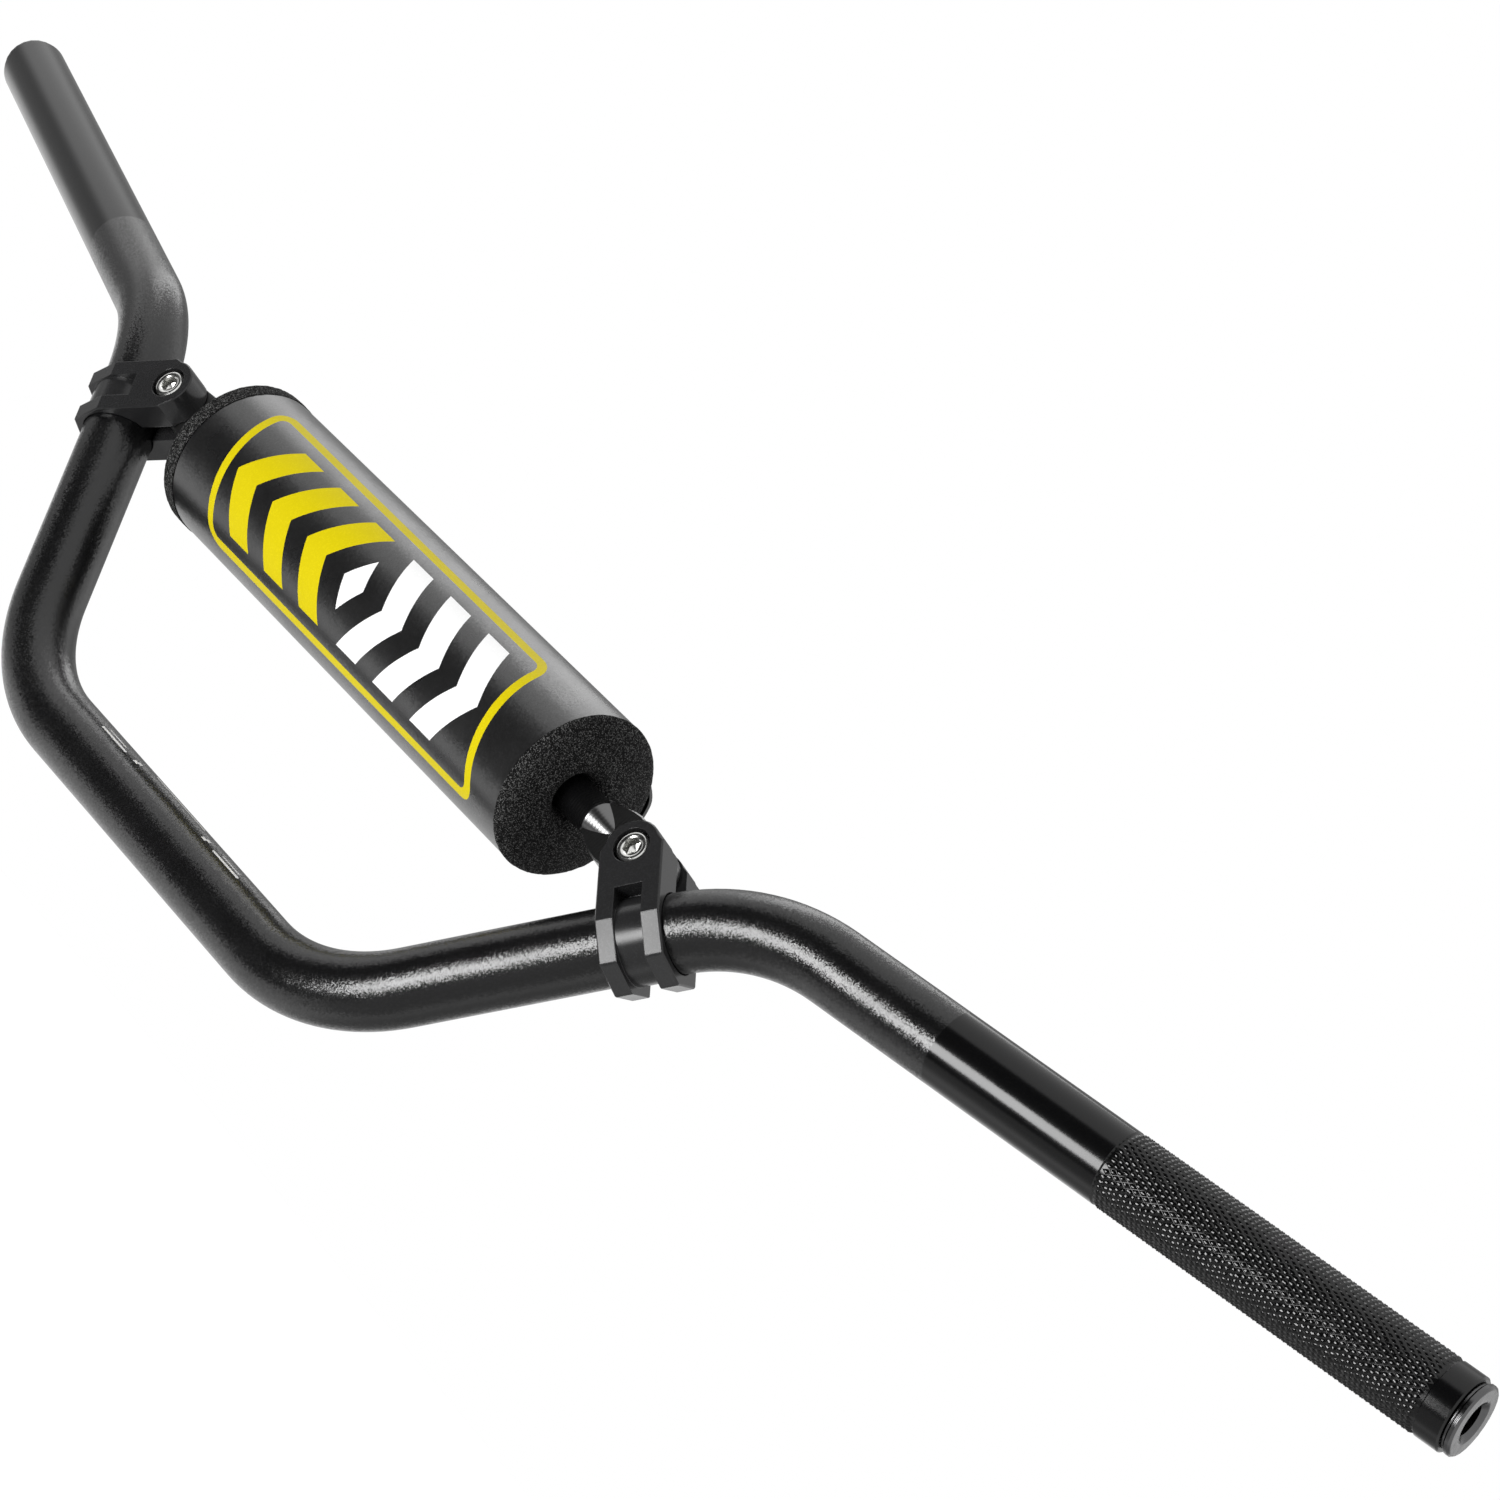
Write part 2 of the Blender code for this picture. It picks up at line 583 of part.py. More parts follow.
def cover_angles():
    """Angles of the sheet's fold lines, from its inner flap to its outer one."""
    start = COVER_LAP_START
    sweep = COVER_RAMP_START - start
    body = math.ceil(sweep / PAD_FACET_ANGLE)
    lap = math.ceil(LAP_ANGLE / PAD_FACET_ANGLE)
    angles = [start + sweep * index / body for index in range(body)]
    angles += [COVER_RAMP_START + COVER_RAMP_ANGLE * index / RAMP_STEPS for index in range(RAMP_STEPS + 1)]
    angles += [start + 2 * math.pi + LAP_ANGLE * index / lap for index in range(1, lap + 1)]
    return angles


def cover_radius(angle):
    """Inner radius of the sheet: round the foam, then up over its own inner flap."""
    share = min(1.0, max(0.0, (angle - COVER_RAMP_START) / COVER_RAMP_ANGLE))
    ease = (1 - math.cos(math.pi * share)) / 2
    return COVER_INNER_RADIUS + (LAP_INNER_RADIUS - COVER_INNER_RADIUS) * ease


def frame_outline(length, height, cut):
    """A long octagon: a slanted rectangle with its corners cut off."""
    x = length / 2
    y = height / 2
    upright = [(-x + cut, -y), (x - cut, -y), (x, -y + cut), (x, y - cut), (x - cut, y), (-x + cut, y),
               (-x, y - cut), (-x, -y + cut)]
    return [(along - PRINT_SLANT * up, up) for along, up in upright]


def chevron_outline(tail, side):
    """An arrow-shaped bar that points away from the middle of the pad."""
    half = CHEVRON_HEIGHT / 2
    front = tail + CHEVRON_THICKNESS
    points = [(tail, -half), (front, -half), (front + CHEVRON_POINT, 0.0), (front, half), (tail, half),
              (tail + CHEVRON_POINT, 0.0)]
    return [(side * x, y) for x, y in points]


def print_fields():
    """Printed shapes as (outline, finish), later ones over earlier ones."""
    line = PRINT_LINE
    corner = line * math.tan(math.pi / 8)
    inner = frame_outline(PRINT_LENGTH - 2 * line, PRINT_HEIGHT - 2 * line, PRINT_CORNER_CUT - corner)
    fields = [(frame_outline(PRINT_LENGTH, PRINT_HEIGHT, PRINT_CORNER_CUT), COVER_COLOUR),
              (inner, COVER_GROUND)]
    for index in range(CHEVRON_COUNT):
        tail = CHEVRON_FIRST + CHEVRON_PITCH * index - CHEVRON_POINT
        fields.append((chevron_outline(tail, -1), COVER_COLOUR))
        fields.append((chevron_outline(tail, 1), COVER_LIGHT))
    half = LOZENGE_LENGTH / 2
    tall = LOZENGE_HEIGHT / 2
    fields.append(([(-half, 0.0), (0.0, -tall), (half, 0.0), (0.0, tall)], COVER_LIGHT))
    return fields


def sheet_layout(angles):
    """Flat pattern of the sheet: triangles of (along, angle) points with their finishes."""
    half = COVER_LENGTH / 2
    first, last = angles[0], angles[-1]
    points = [(-half, first), (half, first), (half, last), (-half, last)]
    outlines = [[0, 1, 2, 3]]
    edges = []
    middle = PRINT_CENTRE_ANGLE + 2 * math.pi
    finishes = [COVER_GROUND]
    for outline, name in print_fields():
        start = len(points)
        points += [(x, middle + y / COVER_OUTER_RADIUS) for x, y in outline]
        outlines.append(list(range(start, len(points))))
        finishes.append(name)
    for angle in angles[1:-1]:
        edges.append((len(points), len(points) + 1))
        points += [(-half, angle), (half, angle)]
    made = delaunay_2d_cdt([Vector(p) for p in points], edges, outlines, 1, MERGE_DISTANCE)
    flat_points, faces, sources = made[0], made[2], made[5]
    return flat_points, [(face, finishes[max(source)]) for face, source in zip(faces, sources)]


def cover_sheet_point(angles, along, angle, depth):
    """Place a point of the flat pattern on the folded sheet, depth below its outside."""
    upper = next((i for i in range(1, len(angles)) if angle <= angles[i] + MERGE_DISTANCE), len(angles) - 1)
    low, high = angles[upper - 1], angles[upper]
    share = (angle - low) / (high - low)
    ends = [around_pad(cover_radius(a) + COVER_THICKNESS - depth, a) for a in (low, high)]
    return Vector((along, 0.0, 0.0)) + ends[0].lerp(ends[1], share)


def pad_cover(carrier):
    """The printed sleeve round the foam, one sheet with its outer flap over its inner one."""
    angles = cover_angles()
    half = COVER_LENGTH / 2
    points, faces = sheet_layout(angles)
    bm = bmesh.new()
    outside = [bm.verts.new(cover_sheet_point(angles, x, a, 0.0)) for x, a in points]
    for face, name in faces:
        bm.faces.new([outside[i] for i in face]).material_index = COVER_FINISHES.index(name)
    rims = {}
    for x in (-half, half):
        for depth in (0.0, COVER_THICKNESS):
            rims[x, depth] = [bm.verts.new(cover_sheet_point(angles, x, a, depth)) for a in angles]
    loops = [(rims[-half, 0.0], rims[-half, COVER_THICKNESS]),
             (rims[half, 0.0], rims[half, COVER_THICKNESS]),
             (rims[-half, COVER_THICKNESS], rims[half, COVER_THICKNESS])]
    for first, second in loops:
        for i in range(len(angles) - 1):
            bm.faces.new((first[i], first[i + 1], second[i + 1], second[i]))
    for i in (0, -1):
        bm.faces.new((rims[-half, 0.0][i], rims[half, 0.0][i], rims[half, COVER_THICKNESS][i],
                      rims[-half, COVER_THICKNESS][i]))
    bmesh.ops.remove_doubles(bm, verts=bm.verts, dist=MERGE_DISTANCE)
    place = Matrix.Translation((COVER_SHIFT, 0.0, 0.0))
    return add_object("pad_cover", bm, COVER_FINISHES, place, carrier)


def closure_strip(name, radius, carrier):
    """One curved strip of the hook-and-loop closure, sewn on where the flaps lap."""
    middle = COVER_LAP_START + LAP_ANGLE / 2
    sweep = STRIP_WIDTH / radius
    count = STRIP_STEPS * math.ceil(sweep / STRIP_STEPS / PAD_FACET_ANGLE)
    angles = [middle + sweep * (i / count - 1 / 2) for i in range(count + 1)]
    lower = [around_pad(radius, a) for a in angles]
    upper = [around_pad(radius + STRIP_THICKNESS, a) for a in reversed(angles)]
    outline = [(point.y, point.z) for point in lower + upper]
    half = STRIP_LENGTH / 2
    bm = extruded(outline, -half, half, lambda y, z, x: (x, y, z))
    place = Matrix.Translation((COVER_SHIFT, 0.0, 0.0))
    return add_object(name, bm, ["closure_tape"], place, carrier)


def build():
    """Make every sub-part."""
    clear_scene()
    bent_tube()
    crossbar()
    for name, side in (("left", 1), ("right", -1)):
        bar_end_insert(name + "_end_insert", side)
        crossbar_clamp(name + "_clamp", side)
        clamp_bolt(name + "_clamp_bolt", side)
    pad_axis = bpy.data.objects.new("pad_axis", None)
    pad_axis.location = (0.0, 0.0, BOLT_CENTRE.z)
    bpy.context.scene.collection.objects.link(pad_axis)
    pad_foam(pad_axis)
    pad_cover(pad_axis)
    closure_strip("closure_loop_strip", LOOP_STRIP_RADIUS, pad_axis)
    closure_strip("closure_hook_strip", HOOK_STRIP_RADIUS, pad_axis)


build()
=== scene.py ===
"""Looks of the motocross handlebar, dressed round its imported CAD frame.

Units are metres, in the frame of the CAD: the origin is the middle of the stem clamp zone,
+X points to the rider's left, -Y forwards and +Z up. The bar is dressed as a product
photograph shows it: black alloy tube with a bead-blasted middle and smooth grips, one of them
knurled, machined clamps, a crossbar, and a foam roll in a printed cover.
"""

from __future__ import annotations

import logging
import math
from dataclasses import dataclass
from enum import Enum

import bmesh
import bpy
from mathutils import Matrix, Vector, noise
from mathutils.geometry import delaunay_2d_cdt

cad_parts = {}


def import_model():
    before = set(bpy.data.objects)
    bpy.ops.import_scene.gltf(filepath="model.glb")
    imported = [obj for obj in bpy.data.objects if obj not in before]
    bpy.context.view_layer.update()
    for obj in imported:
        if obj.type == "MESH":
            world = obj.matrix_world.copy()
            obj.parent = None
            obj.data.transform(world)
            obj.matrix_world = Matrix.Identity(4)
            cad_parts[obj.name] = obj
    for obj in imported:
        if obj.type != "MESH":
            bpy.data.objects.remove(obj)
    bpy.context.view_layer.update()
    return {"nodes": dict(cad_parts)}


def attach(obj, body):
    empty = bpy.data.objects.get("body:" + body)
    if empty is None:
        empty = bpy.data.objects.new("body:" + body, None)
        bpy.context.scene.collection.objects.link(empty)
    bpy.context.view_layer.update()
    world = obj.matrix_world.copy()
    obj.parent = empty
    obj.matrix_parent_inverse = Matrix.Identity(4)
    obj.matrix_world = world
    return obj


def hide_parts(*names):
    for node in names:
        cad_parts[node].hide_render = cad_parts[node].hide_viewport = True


LOG = logging.getLogger("handlebar")
BODY = "root"
FULL_TURN = 2 * math.pi
UPWARDS = Vector((0.0, 0.0, 1.0))
MERGE_DISTANCE = 0.000001
COMBINE = "ShaderNodeCombineXYZ"
SEPARATE = "ShaderNodeSeparateXYZ"
SOCKET = "NodeSocket"
SHAPE = {"Geometry": "Geometry"}

Pair = tuple[float, float]
Triple = tuple[float, float, float]
Station = tuple[Vector, Vector]
Piece = bpy.types.Object
Mesh = bmesh.types.BMesh
Material = bpy.types.Material
Tree = bpy.types.NodeTree
Socket = bpy.types.NodeSocket
Sockets = bpy.types.bpy_prop_collection
Value = float | tuple | Socket


class Side(Enum):
    """A side of the bar, with its sign along X."""

    LEFT = 1
    RIGHT = -1


class Zone(Enum):
    """A zone of the tube's surface, with its place in the list of materials."""

    BLASTED = 0
    SMOOTH = 1


class Ink(Enum):
    """A colour of the cover's print, with its place in the list of materials."""

    GROUND = 0
    YELLOW = 1
    WHITE = 2


class Family(Enum):
    """A family of node trees, with Blender's name for it."""

    SHADER = "ShaderNodeTree"
    GEOMETRY = "GeometryNodeTree"


# Node trees


class Recipe:
    """Adds nodes to a tree and joins them, so that an effect reads from top to bottom."""

    def __init__(self, tree: Tree) -> None:
        """Start on a tree, and empty it."""
        self.tree = tree
        tree.nodes.clear()

    def add(self, kind: str, values: dict | None = None, **settings: object) -> bpy.types.Node:
        """Add one node.

        Args:
            kind: The node's type, such as ShaderNodeMath.
            values: Input name or number to a value, or to the socket that feeds it.
            settings: The node's own settings, such as operation.

        Returns:
            The new node.
        """
        node = self.tree.nodes.new(kind)
        for name, value in settings.items():
            setattr(node, name, value)
        for name, value in (values or {}).items():
            if isinstance(value, Socket):
                self.tree.links.new(value, node.inputs[name])
            else:
                node.inputs[name].default_value = value
        return node

    def first(self, kind: str, values: dict | None = None, **settings: object) -> Socket:
        """Add one node, as add does, and take its first output."""
        return self.add(kind, values, **settings).outputs[0]

    def maths(self, operation: str, *values: Value) -> Socket:
        """Add a Math node on numbers or sockets, and take its result."""
        return self.first("ShaderNodeMath", dict(enumerate(values)), operation=operation)

    def vectors(self, operation: str, *values: Value) -> Socket:
        """Add a Vector Math node on vectors or sockets, and take its vector."""
        return self.first("ShaderNodeVectorMath", dict(enumerate(values)), operation=operation)

    def measure(self, operation: str, *values: Value) -> Socket:
        """Add a Vector Math node that measures, such as LENGTH, and take its number."""
        inputs = dict(enumerate(values))
        return self.add("ShaderNodeVectorMath", inputs, operation=operation).outputs["Value"]

    def spread(self, value: Value, low: Value, high: Value, start: Value = 0.0,
               end: Value = 1.0, **settings: object) -> Socket:
        """Add a Map Range node that gives low at start and high at end, and take its result."""
        values = {0: value, 1: start, 2: end, 3: low, 4: high}
        return self.first("ShaderNodeMapRange", values, **settings)

    def blend(self, mask: Socket, low: Triple, high: Triple, target: Socket) -> None:
        """Mix two colours by a mask into a socket.

        Args:
            mask: The socket with the mask.
            low: The colour where the mask is 0.
            high: The colour where it is 1.
            target: The colour socket that takes the result.
        """
        mix = self.add("ShaderNodeMix", {"Factor": mask}, data_type="RGBA")
        ends = [socket for socket in mix.inputs if socket.type == "RGBA"]
        for socket, value in zip(ends, (low, high)):
            socket.default_value = (*value, 1.0)
        self.link(next(s for s in mix.outputs if s.type == "RGBA"), target)

    def link(self, source: Socket, target: Socket) -> None:
        """Feed one socket from another."""
        self.tree.links.new(source, target)

    def group(self, tree: Tree, **values: Value) -> Sockets:
        """Add a node group with its inputs by name, and take its outputs."""
        return self.add("ShaderNodeGroup", values, node_tree=tree).outputs

    def close(self, **results: Socket) -> Tree:
        """Feed the outputs of the tree itself by name, and give back the tree."""
        self.add("NodeGroupOutput", results)
        return self.tree


def start_group(name: str, family: Family, inputs: dict[str, str],
                outputs: dict[str, str]) -> tuple[Recipe, Sockets]:
    """Start a node group with named inputs and outputs.

    Args:
        name: The group's name.
        family: Its family.
        inputs: Kind of socket, such as Float, to the names of the inputs of that kind.
        outputs: The same for its outputs.

    Returns:
        The group's recipe, and what it is given.
    """
    tree = bpy.data.node_groups.new(name, family.value)
    for direction, kinds in (("INPUT", inputs), ("OUTPUT", outputs)):
        for kind, labels in kinds.items():
            for label in labels.split():
                tree.interface.new_socket(label, in_out=direction, socket_type=SOCKET + kind)
    recipe = Recipe(tree)
    return recipe, recipe.add("NodeGroupInput").outputs


def inputs_of(item: Ring | Opening) -> dict[str, Value]:
    """A dataclass's fields as the inputs of a node group."""
    return {label.capitalize(): value for label, value in vars(item).items()}


class Effects:
    """The shader node groups that several finishes share."""

    MIDDLE_GREY = (0.5, 0.5, 0.5)
    MOTTLE_DETAIL = 3.0
    MOTTLE_SPAN = (0.3, 0.7)
    FLAT_FACE_POWER = 4.0

    def __init__(self) -> None:
        """Build each group once."""
        self.grain = self.build_grain()
        self.mottle = self.build_mottle()
        self.ring = self.build_ring()
        self.opening = self.build_opening()

    def build_grain(self) -> Tree:
        """Make the group for fine grain: tiny facets, each with its own tilt and paleness.

        Returns:
            The node group.
        """
        recipe, given = start_group(
            "fine_grain", Family.SHADER, {"Vector": "Vector Normal", "Float": "Scale Tilt Share"},
            {"Vector": "Normal", "Float": "Speck"})
        values = {"Vector": given["Vector"], "Scale": given["Scale"]}
        facet = recipe.add("ShaderNodeTexVoronoi", values).outputs["Color"]
        chance = recipe.add("ShaderNodeSeparateColor", {0: facet}).outputs["Green"]
        lean = recipe.vectors("SUBTRACT", facet, self.MIDDLE_GREY)
        push = recipe.vectors("MULTIPLY", lean, given["Tilt"])
        normal = recipe.vectors("NORMALIZE", recipe.vectors("ADD", given["Normal"], push))
        edge = recipe.maths("SUBTRACT", 1.0, given["Share"])
        return recipe.close(Normal=normal, Speck=recipe.spread(chance, 0.0, 1.0, edge, 1.0))

    def build_mottle(self) -> Tree:
        """Make the group for soft, broad unevenness between two levels.

        Returns:
            The node group.
        """
        recipe, given = start_group(
            "soft_mottle", Family.SHADER, {"Vector": "Vector", "Float": "Scale Low High"},
            {"Float": "Value"})
        values = {"Vector": given["Vector"], "Scale": given["Scale"], "Detail": self.MOTTLE_DETAIL}
        broad = recipe.add("ShaderNodeTexNoise", values).outputs["Fac"]
        level = recipe.spread(broad, given["Low"], given["High"], *self.MOTTLE_SPAN)
        return recipe.close(Value=level)

    def build_ring(self) -> Tree:
        """Make the group that tilts a flat round face's normal by its distance from the axis.

        Returns:
            The node group. The face has a twin on the other side of the bar.
        """
        recipe, given = start_group(
            "ring_tilt", Family.SHADER,
            {"Vector": "Vector Normal Centre Axis", "Float": "Inner Outer Low High"},
            {"Vector": "Normal"})
        sign = recipe.maths("SIGN", recipe.first(SEPARATE, {0: given["Vector"]}))
        side = recipe.first(COMBINE, {0: sign, 1: 1.0, 2: 1.0})
        folded = recipe.vectors("MULTIPLY", given["Vector"], side)
        off = recipe.vectors("SUBTRACT", folded, given["Centre"])
        ray = recipe.vectors("SUBTRACT", off, recipe.vectors("PROJECT", off, given["Axis"]))
        outwards = recipe.vectors("MULTIPLY", recipe.vectors("NORMALIZE", ray), side)
        swell = recipe.spread(
            recipe.measure("LENGTH", ray), given["Low"], given["High"], given["Inner"],
            given["Outer"])
        axis = recipe.vectors("MULTIPLY", given["Axis"], side)
        facing = recipe.maths("MAXIMUM", recipe.measure("DOT_PRODUCT", given["Normal"], axis), 0.0)
        flatness = recipe.maths("POWER", facing, self.FLAT_FACE_POWER)
        push = recipe.vectors("MULTIPLY", outwards, recipe.maths("MULTIPLY", swell, flatness))
        tilted = recipe.vectors("ADD", given["Normal"], push)
        return recipe.close(Normal=recipe.vectors("NORMALIZE", tilted))

    def build_opening(self) -> Tree:
        """Make the group for an opening in the studio's white surround.

        Returns:
            The node group: 1 far from the opening's axis, its dark level inside it.
        """
        recipe, given = start_group(
            "surround_opening", Family.SHADER,
            {"Vector": "Direction Axis", "Float": "Inner Outer Dark"}, {"Float": "Brightness"})
        unit = recipe.vectors("NORMALIZE", given["Direction"])
        aligned = recipe.measure("DOT_PRODUCT", unit, given["Axis"])
        level = recipe.spread(aligned, 1.0, given["Dark"], given["Outer"], given["Inner"],
                              interpolation_type="SMOOTHSTEP")
        return recipe.close(Brightness=level)


# Finishes


@dataclass
class Coat:
    """A material in the making: its recipe, its shader's inputs and the Object coordinates."""

    material: Material
    recipe: Recipe
    shader: Sockets
    place: Socket


@dataclass(frozen=True)
class Ring:
    """A ring of a round face whose normal leans outwards, from low at its inner edge to high."""

    inner: float
    outer: float
    low: float
    high: float


@dataclass(frozen=True)
class Finish:
    """A plain finish: its constants, a broad unevenness, and rings that look rounded."""

    name: str
    colour: Triple
    roughness: float
    metallic: float = 0.0
    specular: float = 0.5
    specular_tint: float = 1.0
    ior: float = 1.5
    unevenness: float = 0.03
    mottle_scale: float = 60.0
    centre: Triple = (0.0, 0.0, 0.0)
    face_axis: Triple = (1.0, 0.0, 0.0)
    face_rings: tuple[Ring, ...] = ()
    edge_radius: float = 0.0

    def normal(self, effects: Effects, coat: Coat) -> Socket:
        """Make the normal, with soft edges and with the rings of the round faces.

        Args:
            effects: The shared node groups.
            coat: The material in the making.

        Returns:
            The normal's socket.
        """
        if self.edge_radius:
            normal = coat.recipe.first("ShaderNodeBevel", {"Radius": self.edge_radius})
        else:
            normal = coat.recipe.add("ShaderNodeNewGeometry").outputs["Normal"]
        for ring in self.face_rings:
            normal = coat.recipe.group(
                effects.ring, Vector=coat.place, Normal=normal, Centre=self.centre,
                Axis=self.face_axis, **inputs_of(ring))["Normal"]
        return normal

    def start(self, effects: Effects) -> Coat:
        """Make the material with its shader, coordinates and uneven roughness.

        Args:
            effects: The shared node groups.

        Returns:
            The material in the making.
        """
        material = bpy.data.materials.new(self.name)
        material.use_nodes = True
        recipe = Recipe(material.node_tree)
        place = recipe.add("ShaderNodeTexCoord").outputs["Object"]
        uneven = recipe.group(
            effects.mottle, Vector=place, Scale=self.mottle_scale,
            Low=self.roughness - self.unevenness, High=self.roughness + self.unevenness)
        shader = recipe.add("ShaderNodeBsdfPrincipled", {
            "Base Color": (*self.colour, 1.0), "Metallic": self.metallic, "IOR": self.ior,
            "Roughness": uneven["Value"], "Specular IOR Level": self.specular,
            "Specular Tint": (*[self.specular_tint] * 3, 1.0)})
        recipe.add("ShaderNodeOutputMaterial", {"Surface": shader.outputs[0]})
        return Coat(material, recipe, shader.inputs, place)

    def make(self, effects: Effects) -> Material:
        """Make the finished material from the shared node groups."""
        return self.start(effects).material


@dataclass(frozen=True)
class GrainedFinish(Finish):
    """A finish with fine grain: tilted facets that sparkle, and paler specks."""

    grain_scale: float = 2400.0
    grain_tilt: float = 0.1
    share: float = 0.4
    speck: Triple = (0.05, 0.05, 0.05)

    def start(self, effects: Effects) -> Coat:
        """Make the material with its grain.

        Args:
            effects: The shared node groups.

        Returns:
            The material in the making.
        """
        coat = super().start(effects)
        grain = coat.recipe.group(
            effects.grain, Vector=coat.place, Normal=self.normal(effects, coat),
            Scale=self.grain_scale, Tilt=self.grain_tilt, Share=self.share)
        coat.recipe.link(grain["Normal"], coat.shader["Normal"])
        coat.recipe.blend(grain["Speck"], self.colour, self.speck, coat.shader["Base Color"])
        return coat


@dataclass(frozen=True)
class TurnedFinish(Finish):
    """A finish with the fine rings that a lathe leaves, round a line along X or Y."""

    axis: str = "X"
    ring_scale: float = 900.0
    ring_height: float = 0.00002
    ring_strength: float = 0.3
    ring_distortion: float = 1.0
    ring_detail: float = 2.0

    def start(self, effects: Effects) -> Coat:
        """Make the material with its rings.

        Args:
            effects: The shared node groups.

        Returns:
            The material in the making.
        """
        coat = super().start(effects)
        rings = coat.recipe.add("ShaderNodeTexWave", {
            "Vector": coat.place, "Scale": self.ring_scale, "Distortion": self.ring_distortion,
            "Detail": self.ring_detail}, bands_direction=self.axis)
        bump = coat.recipe.first("ShaderNodeBump", {
            "Strength": self.ring_strength, "Distance": self.ring_height,
            "Height": rings.outputs["Fac"], "Normal": self.normal(effects, coat)})
        coat.recipe.link(bump, coat.shader["Normal"])
        return coat


@dataclass(frozen=True)
class NosedFinish(TurnedFinish):
    """A gloss rod whose turned noses, past a distance from the middle, are bare and bright."""

    nose_start: float = 0.1102
    nose_end: float = 0.1106
    nose_colour: Triple = (0.17, 0.17, 0.17)
    nose_roughness: float = 0.30

    def start(self, effects: Effects) -> Coat:
        """Make the material with its rings and its bare noses.

        Args:
            effects: The shared node groups.

        Returns:
            The material in the making.
        """
        coat = super().start(effects)
        recipe = coat.recipe
        away = recipe.maths("ABSOLUTE", recipe.first(SEPARATE, {0: coat.place}))
        nose = recipe.spread(away, 0.0, 1.0, self.nose_start, self.nose_end)
        roughness = recipe.spread(nose, self.roughness, self.nose_roughness)
        recipe.link(nose, coat.shader["Metallic"])
        recipe.link(roughness, coat.shader["Roughness"])
        recipe.blend(nose, self.colour, self.nose_colour, coat.shader["Base Color"])
        return coat


BLASTED_BLACK = GrainedFinish(
    "bead_blasted_black", (0.004, 0.004, 0.0042), 0.23, specular=1.0, specular_tint=0.56,
    grain_scale=3400.0, grain_tilt=0.17, share=0.3, speck=(0.010, 0.010, 0.0105))
SMOOTH_BLACK = GrainedFinish(
    "smooth_black", (0.003, 0.003, 0.0032), 0.17, specular=0.36, unevenness=0.02,
    grain_scale=2100.0, grain_tilt=0.01, speck=(0.004, 0.004, 0.0042))
KNURLED_BLACK = GrainedFinish(
    "knurled_black", (0.002, 0.002, 0.0022), 0.13, specular=0.45, grain_scale=700.0,
    grain_tilt=0.18, speck=(0.004, 0.004, 0.004))
CLAMP_BLACK = GrainedFinish(
    "anodised_clamp_black", (0.017, 0.017, 0.0175), 0.22, specular=0.40, grain_scale=3200.0,
    grain_tilt=0.01, speck=(0.023, 0.023, 0.024), edge_radius=0.0004)
ROD_BLACK = NosedFinish(
    "gloss_black_rod", (0.003, 0.003, 0.0032), 0.20, specular=0.7, ring_scale=300.0,
    ring_height=0.00004, ring_strength=0.7)
BOLT_STEEL = TurnedFinish(
    "zinc_bolt_steel", (0.78, 0.78, 0.76), 0.20, metallic=1.0, axis="Y", ring_scale=900.0,
    unevenness=0.05, mottle_scale=400.0, centre=(0.137, 0.0, 0.0934), face_axis=(0.0, -1.0, 0.0),
    face_rings=(Ring(0.0026, 0.0049, -0.75, 0.75),))
INSERT_GREY = TurnedFinish(
    "dark_grey_insert", (0.11, 0.11, 0.112), 0.24, metallic=1.0, unevenness=0.08,
    mottle_scale=500.0, centre=(0.4, 0.054, 0.1465), face_axis=(0.95770, 0.23088, 0.17102),
    face_rings=(Ring(0.0092, 0.0102, 0.0, 1.6), Ring(0.0058, 0.0068, -1.6, 0.0)))
FOAM_BLACK = GrainedFinish(
    "black_foam", (0.003, 0.003, 0.003), 0.9, specular=0.15, grain_scale=4200.0,
    grain_tilt=0.35, share=0.32, speck=(0.15, 0.15, 0.148), centre=(0.0, 0.0, 0.0934),
    face_rings=(Ring(0.010, 0.024, 0.0, 1.3),))
COVER_BLACK = GrainedFinish(
    "satin_cover_black", (0.005, 0.005, 0.0052), 0.29, ior=1.8, grain_scale=2400.0,
    grain_tilt=0.06, speck=(0.011, 0.011, 0.0114))
PRINT_YELLOW = GrainedFinish(
    "yellow_print", (0.62, 0.51, 0.002), 0.42, specular=0.08, grain_scale=2400.0, grain_tilt=0.05,
    speck=(0.66, 0.55, 0.004))
PRINT_WHITE = GrainedFinish(
    "white_print", (0.90, 0.90, 0.90), 0.42, specular=0.08, grain_scale=2400.0, grain_tilt=0.05,
    speck=(0.93, 0.93, 0.93))
TAPE_BLACK = GrainedFinish(
    "closure_tape_black", (0.010, 0.010, 0.010), 0.9, specular=0.2, grain_scale=2600.0,
    grain_tilt=1.0, speck=(0.05, 0.05, 0.05))
THREAD_GREY = GrainedFinish(
    "thread_grey", (0.05, 0.05, 0.052), 0.7, grain_scale=4000.0, grain_tilt=0.4,
    speck=(0.12, 0.12, 0.12))
ETCHED_GREY = GrainedFinish(
    "etched_grey", (0.90, 0.90, 0.90), 0.5, grain_scale=5000.0, grain_tilt=0.2,
    speck=(0.95, 0.95, 0.95))


# Mesh helpers


def settle(piece: Piece, slot: str | None, *nodes: str) -> Piece:
    """Ride a finished piece on the bar, and let it stand for CAD nodes by hiding them.

    Args:
        piece: The finished piece.
        slot: Not used.
        nodes: The CAD nodes that it replaces.

    Returns:
        The same piece.
    """
    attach(piece, BODY)
    if nodes:
        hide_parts(*nodes)
    return piece


